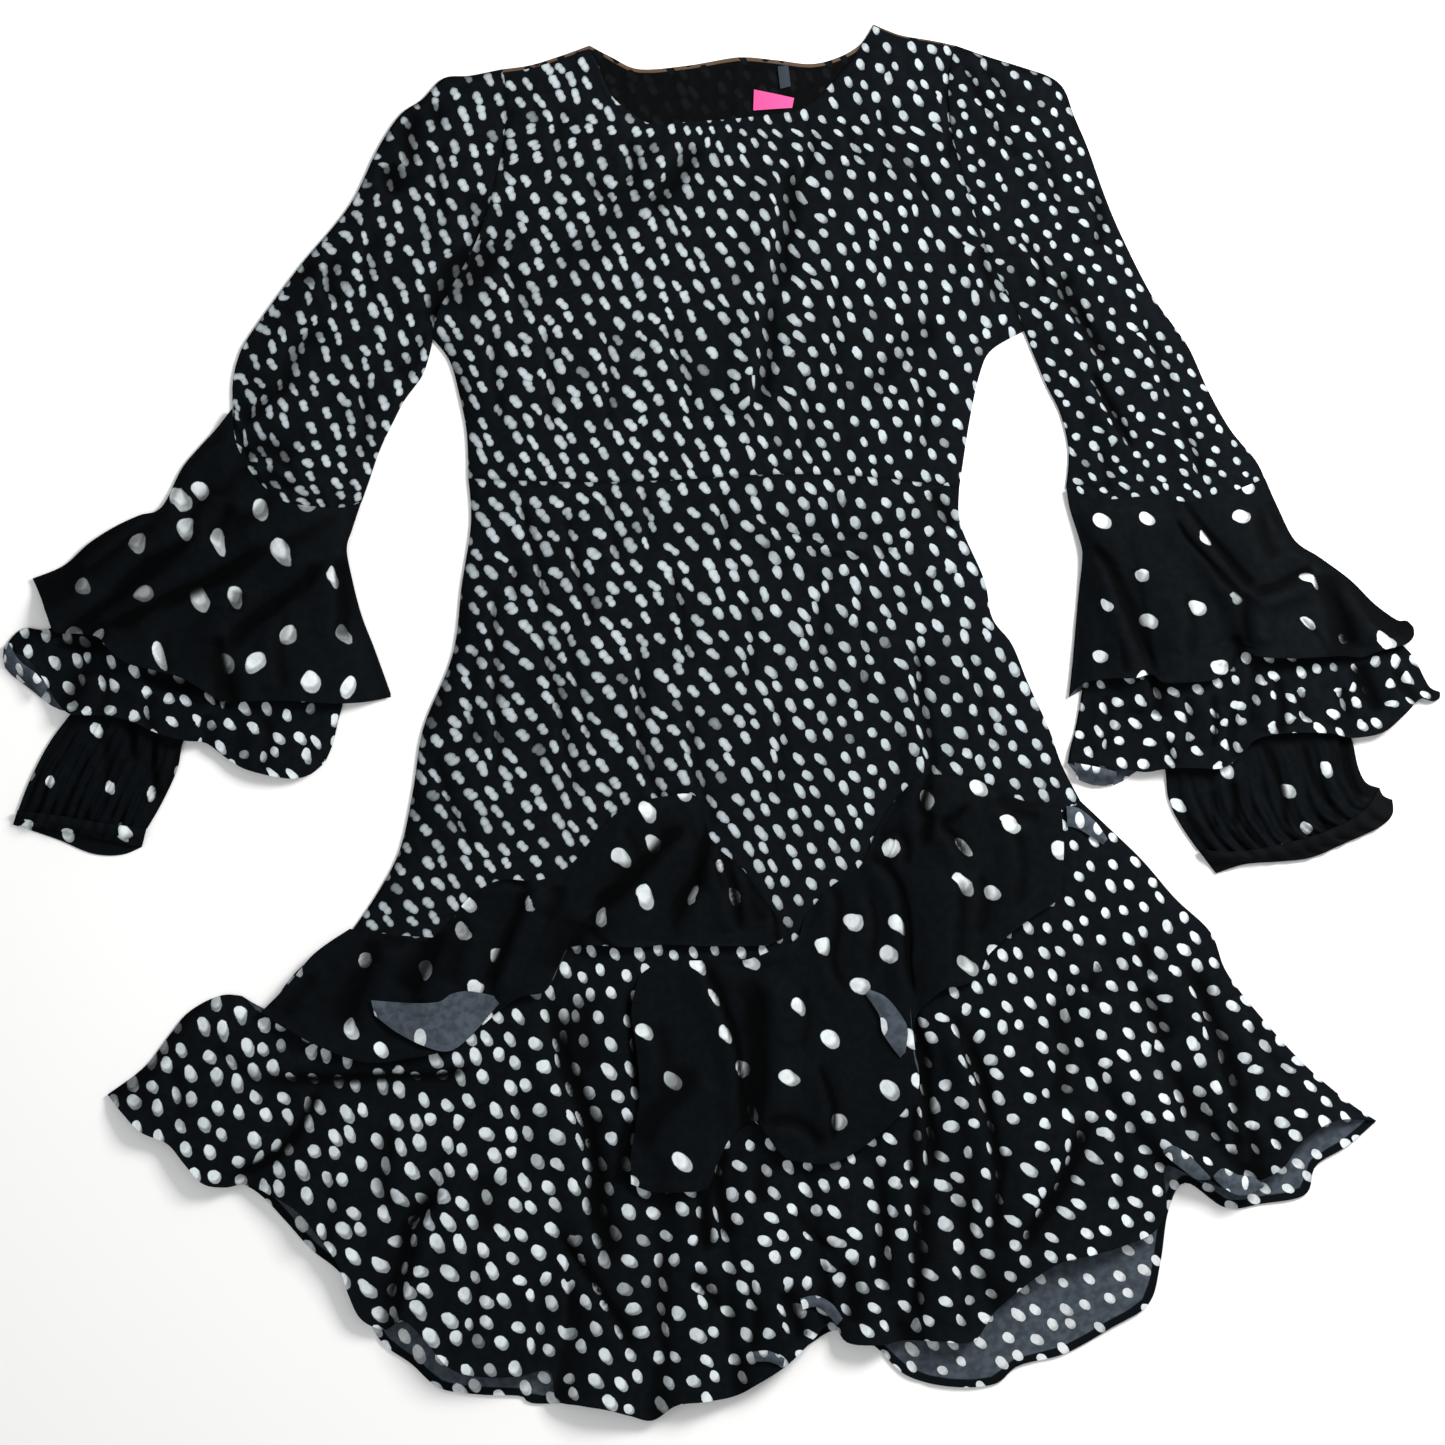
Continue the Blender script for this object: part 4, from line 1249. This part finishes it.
def make_lower_flounce():
    """Wide lower flounce, whose front waves at the hem."""
    left, right = spread(FLOUNCE_LEFT, FLOUNCE_ROWS), spread(FLOUNCE_RIGHT, FLOUNCE_ROWS)
    count = int(run_length(BACK_HEM) / BACK_HEM_STEP)
    back = between(spread(DROP_SEAM, count), spread(BACK_HEM, count), left[::2], right[::2])
    x, y = back[..., 0], back[..., 1]
    hem_away = away_from(x, y, BACK_HEM, 2)
    z = 0.8 + 0.8 * np.abs(wander(x, y, 22, 60, 0, 5)) + 0.8 * hill(hem_away, 2.5)
    lay_panel("back_lower_flounce", x, y, z, hem=hem_away)
    count = int(run_length(FLOUNCE_HEM) / FRONT_HEM_STEP)
    hem = spread(FLOUNCE_HEM, count)
    front = between(spread(DROP_SEAM, count), hem, left, right)
    x, y = front[..., 0], front[..., 1]
    fold, take = fold_field(x, y, FLOUNCE_FOLDS)
    roll, from_hem = rolled(x, 320)
    relief = waves_of(hem, x) + fold * 0.8 + 0.4 * crinkle(x, y, 6, 3, 1.5)
    lay_panel("front_lower_flounce", x, y, front_face(x, y, relief, 12) + roll, take, from_hem)


def make_upper_flounce(node_name, top, hem, side, end, folds):
    """One of the two dark flounces wrapped over the drop seam."""
    count = int(run_length(hem) / STEP)
    hem_run = spread(hem, count)
    grid = between(spread(top, count), hem_run, spread(side, OVER_ROWS), spread(end, OVER_ROWS))
    x, y = grid[..., 0], grid[..., 1]
    fold, take = fold_field(x, y, folds)
    base = lie_on(x, y, FRONT, 14)
    roll, from_hem = rolled(x, 120)
    puff = 2.2 * ease(away_from(x, y, top) / 9) - 0.4
    relief = puff + waves_of(hem_run, x) * 0.6 + np.maximum(fold, -2.2) + roll
    z = base + relief + 0.25 * crinkle(x, y, 8, 4, 1.5)
    lay_panel(node_name, x, y, np.maximum(z, base), take, from_hem)


def sleeve_part(edges, part):
    """Front and back of a flattened sleeve part."""
    _, columns, rows = SLEEVE_PARTS[part]
    top, outer, inner, hem, under = (edges[part + place] for place in
                                     ("_top", "_outer", "_inner", "_hem", "_under"))
    outer_edge, inner_edge = spread(outer, rows), spread(inner, rows)
    return [between(spread(top, count), spread(low, count), outer_edge, inner_edge)
            for low, count in ((hem, columns), (under, columns // 3))]


def back_height(back, on_floor):
    """Height of a sleeve part's back, on the floor or on what lies there, which it joins."""
    x, y = back[..., 0], back[..., 1]
    z = np.full(x.shape, SLEEVE_BACK) if on_floor else lie_on(x, y, BACK, 6, 1) - SHELL
    note_layer(x, y, z + SHELL)
    return z


def upper_sleeve_face(x, y, armhole, cut, folds, turn, bunching, seed):
    """Upper sleeve, gathered where its flounces are sewn on."""
    fold, take = fold_field(x, y, folds, 0.88)
    bunched = fading(away_from(x, y, cut), 16) * bunching
    take[0] += 2.5 * np.sin(x * 0.09 + 2 * wander(x, y, 25, 25, 0, seed + 8)) * bunched
    take[1] -= 13 * bunched
    fold += 0.9 * bunched * np.cos(x * 0.5 + y * 0.25 + 2 * wander(x, y, 20, 20, 0, seed + 9))
    shade_seams(take, x, y, armhole)
    relief = fold + CRINKLE * crinkle(x, y, turn, seed)
    return front_face(x, y, relief, 12, tucked(x, y, armhole), (1.0, 0.5)), take


def cuff_face(x, y, folds, turn, seed):
    """Long cuff with gathers that deepen toward the wrist."""
    u, v = across_and_along(x)
    bend = u + 0.03 * wander(x, y, 30, 60, turn, seed + 11)
    ripple = np.cos(math.tau * GATHERS * bend) * (0.15 + 0.9 * ease((v - 0.62) / 0.38)) * 1.2
    ripple *= 1 + 0.9 * wander(x, y, 12, 60, turn, seed + 7)
    broad = np.cos(math.tau * BROAD_GATHERS * bend + 1.3) * 0.5
    ripple += broad * (1 + wander(x, y, 22, 40, turn, seed + 5))
    fine = np.cos(math.tau * FINE_GATHERS * bend + 2.2 * wander(x, y, 14, 50, turn, seed + 12))
    ripple += 0.5 * fine * ease((v - 0.5) / 0.5) * (1 + wander(x, y, 9, 30, turn, seed + 13))
    ripple += 0.6 * crinkle(x, y, turn, seed + 4)
    fold, take = fold_field(x, y, folds)
    body = 4.0 * np.sin(math.pi * u) ** 0.5
    pinch = 1 - 0.65 * ease((v - 0.9) / 0.1)
    base = lie_on(x, y, FRONT, 6, 1)
    z = base + (body * pinch + 1.4 + ripple + fold) * ease(np.minimum(u, 1 - u) * 9)
    return np.maximum(z, base), take


def band_face(x, y, seed):
    """Narrow binding round the wrist."""
    u, v = across_and_along(x)
    gathers = 0.6 * np.cos(math.tau * GATHERS * u) * (1 + wander(x, y, 18, 18, 0, seed + 6))
    full = 1.6 + 1.2 * np.sin(math.pi * v) + gathers
    return lie_on(x, y, FRONT, 2, 1) + ease(np.minimum(u, 1 - u) * 9) * full


def flounce_relief(x, y, hem, folds, turn, seed, finish):
    """Relief of a sleeve flounce, none at its folded sides. The finish is its length, its deepest
    crease, its fullness, and how strong and how large its crinkle is."""
    length, deepest, full, crinkled, size = finish
    u, _ = across_and_along(x)
    fold, take = fold_field(x, y, folds)
    roll, from_hem = rolled(x, length)
    relief = (waves_of(spread(hem, x.shape[1] - 1), x) * 0.9 + np.maximum(fold, deepest) * 0.9
              + full + crinkled * crinkle(x, y, turn, seed, size))
    return relief * ease(np.minimum(u, 1 - u) * 14), roll, take, from_hem


def make_sleeve(side, edges, armhole, folds, turn, bunching, seed):
    """A sleeve in five parts. The backs of its flounces and cuff lie lowest."""
    sleeve_folds, flare_folds, tier_folds, cuff_folds = folds
    grids = {part: sleeve_part(edges, part) for part in SLEEVE_PARTS}
    fronts = {part: np.moveaxis(grid[0], 2, 0) for part, grid in grids.items()}

    def lay_tube(part, z, back_z, take=None, hem=None):
        note_layer(*fronts[part], z)
        node_name = side + SLEEVE_PARTS[part][0]
        front, back = grids[part]
        tube = tube_grid(CUTS[node_name][1], front, z, back, back_z, take, hem)
        make_piece(node_name, [tube] + turned_parts(node_name))

    z, take = upper_sleeve_face(*fronts["sleeve"], armhole, edges["sleeve_hem"], sleeve_folds,
                                turn, bunching, seed)
    lay_tube("sleeve", z, back_height(grids["sleeve"][1], True), take)
    backs = {part: back_height(grids[part][1], part == "flare")
             for part in ("flare", "tier", "cuff")}

    z, take = cuff_face(*fronts["cuff"], cuff_folds, turn, seed)
    lay_tube("cuff", z, backs["cuff"], take)
    band_back = back_height(grids["band"][1], True)
    lay_tube("band", band_face(*fronts["band"], seed), band_back)

    x, y = fronts["tier"]
    base = lie_on(x, y, FRONT, 10, 1)
    relief, roll, take, from_hem = flounce_relief(x, y, edges["tier_hem"], tier_folds, turn,
                                                  seed + 2, (240, -2.5, 1.0, 0.4, 1.5))
    lay_tube("tier", np.maximum(base + relief + roll, base), backs["tier"], take, from_hem)

    x, y = fronts["flare"]
    _, v = across_and_along(x)
    swell, _ = crown(x, y)
    base = lie_on(x, y, FRONT + swell * ease(1 - v * 3), 14, 1)
    start = ease(v * 5)
    relief, roll, take, from_hem = flounce_relief(x, y, edges["flare_hem"], flare_folds, turn,
                                                  seed + 3, (180, -3.0, 1.4, 0.3, 1.6))
    least = base * start + (1 - start) * (FRONT + swell)
    lay_tube("flare", np.maximum(base + relief * start + roll, least), backs["flare"], take,
             from_hem)


def make_label(node_name, corners, lift):
    """A small blank label, bowed a little between its corners."""
    a, b, c, d = np.array(corners, dtype=float)
    u, v = np.linspace(0, 1, 15)[None, :, None], np.linspace(0, 1, 9)[:, None, None]
    grid = (1 - v) * ((1 - u) * a + u * b) + v * ((1 - u) * d + u * c)
    x, y = grid[..., 0], grid[..., 1]
    z = np.full(x.shape, LABEL_HEIGHT) + lift * np.sin(math.pi * u[..., 0])
    make_piece(node_name, [sheet_grid("turned", x, y, z)], LABEL_THICKNESS)


for edges, armhole, inward in ((LEFT, ARMHOLE_LEFT, TUCK), (RIGHT, ARMHOLE_RIGHT, -TUCK)):
    edges["sleeve_top"] = spread(armhole, SLEEVE_PARTS["sleeve"][1]) + (inward, 0)
    edges["sleeve_under"] = edges["flare_top"] = edges["sleeve_hem"]
    edges["cuff_under"] = edges["band_top"] = edges["cuff_hem"]
RIGHT["band_under"] = RIGHT["band_hem"]

waist_run = spread(WAIST, int(run_length(WAIST) / STEP))
make_bodice(waist_run)
make_skirt(waist_run)
make_lower_flounce()
make_upper_flounce("upper_flounce_left", OVER_LEFT_TOP, OVER_LEFT_HEM, OVER_LEFT_SIDE,
                   OVER_LEFT_END, OVER_LEFT_FOLDS)
make_upper_flounce("upper_flounce_right", OVER_RIGHT_TOP, OVER_RIGHT_HEM, OVER_RIGHT_SIDE,
                   OVER_RIGHT_END, OVER_RIGHT_FOLDS)
make_sleeve("left", LEFT, ARMHOLE_LEFT,
            (SLEEVE_LEFT_FOLDS, FLARE_LEFT_FOLDS, TIER_LEFT_FOLDS, CUFF_LEFT_FOLDS), 24, 1.0, 20)
make_sleeve("right", RIGHT, ARMHOLE_RIGHT,
            (SLEEVE_RIGHT_FOLDS, FLARE_RIGHT_FOLDS, TIER_RIGHT_FOLDS, CUFF_RIGHT_FOLDS),
            -18, 0.4, 40)
make_label("neck_label", [(25, 480.5), (55.5, 474), (54, 466.5), (24.5, 464.5)], 0.8)
make_label("size_label", [(43, 498), (51, 499), (53, 483), (45, 481)], 0.2)

# Floor, lights and camera, in metres.
floor_mesh = bpy.data.meshes.new("floor")
shape = bmesh.new()
bmesh.ops.create_grid(shape, x_segments=1, y_segments=1, size=6.0)
shape.to_mesh(floor_mesh)
shape.free()
floor_material, floor_tree = started_material("pale_floor", 0.9, 0.5)
floor_tree.nodes["Principled BSDF"].inputs["Base Color"].default_value = (0.86, 0.86, 0.86, 1)
floor_mesh.materials.append(floor_material)
floor = add_object("floor", floor_mesh, (0, 0, -0.0002))

# Lamps: place, width, power, colour.
LAMPS = {"key": ((1.05, 0.80, 1.0), 0.6, 44, (1.0, 0.985, 0.96)),
         "fill": ((-1.8, -0.6, 2.4), 2.4, 14, (0.94, 0.97, 1.0))}
for name, (place, size, power, colour) in LAMPS.items():
    light = bpy.data.lights.new(name, "AREA")
    light.energy = power
    light.size = size
    light.color = colour
    lamp = add_object(name, light, place)
    lamp.rotation_euler = (-Vector(place)).to_track_quat("-Z", "Y").to_euler()
world = bpy.data.worlds.new("studio")
world.use_nodes = True
world.node_tree.nodes["Background"].inputs["Color"].default_value = (1, 1, 1, 1)
world.node_tree.nodes["Background"].inputs["Strength"].default_value = 0.55
scene = bpy.context.scene
scene.world = world
scene.view_settings.view_transform = "Standard"

CAMERA_HEIGHT = 4.0
FRAME_WIDTH = 1.0982   # what the picture shows across
SENSOR = 36.0
camera_data = bpy.data.cameras.new("camera")
camera_data.sensor_width = SENSOR
camera_data.lens = SENSOR * CAMERA_HEIGHT / FRAME_WIDTH
scene.camera = add_object("camera", camera_data, (0.0011, -0.0004, CAMERA_HEIGHT))
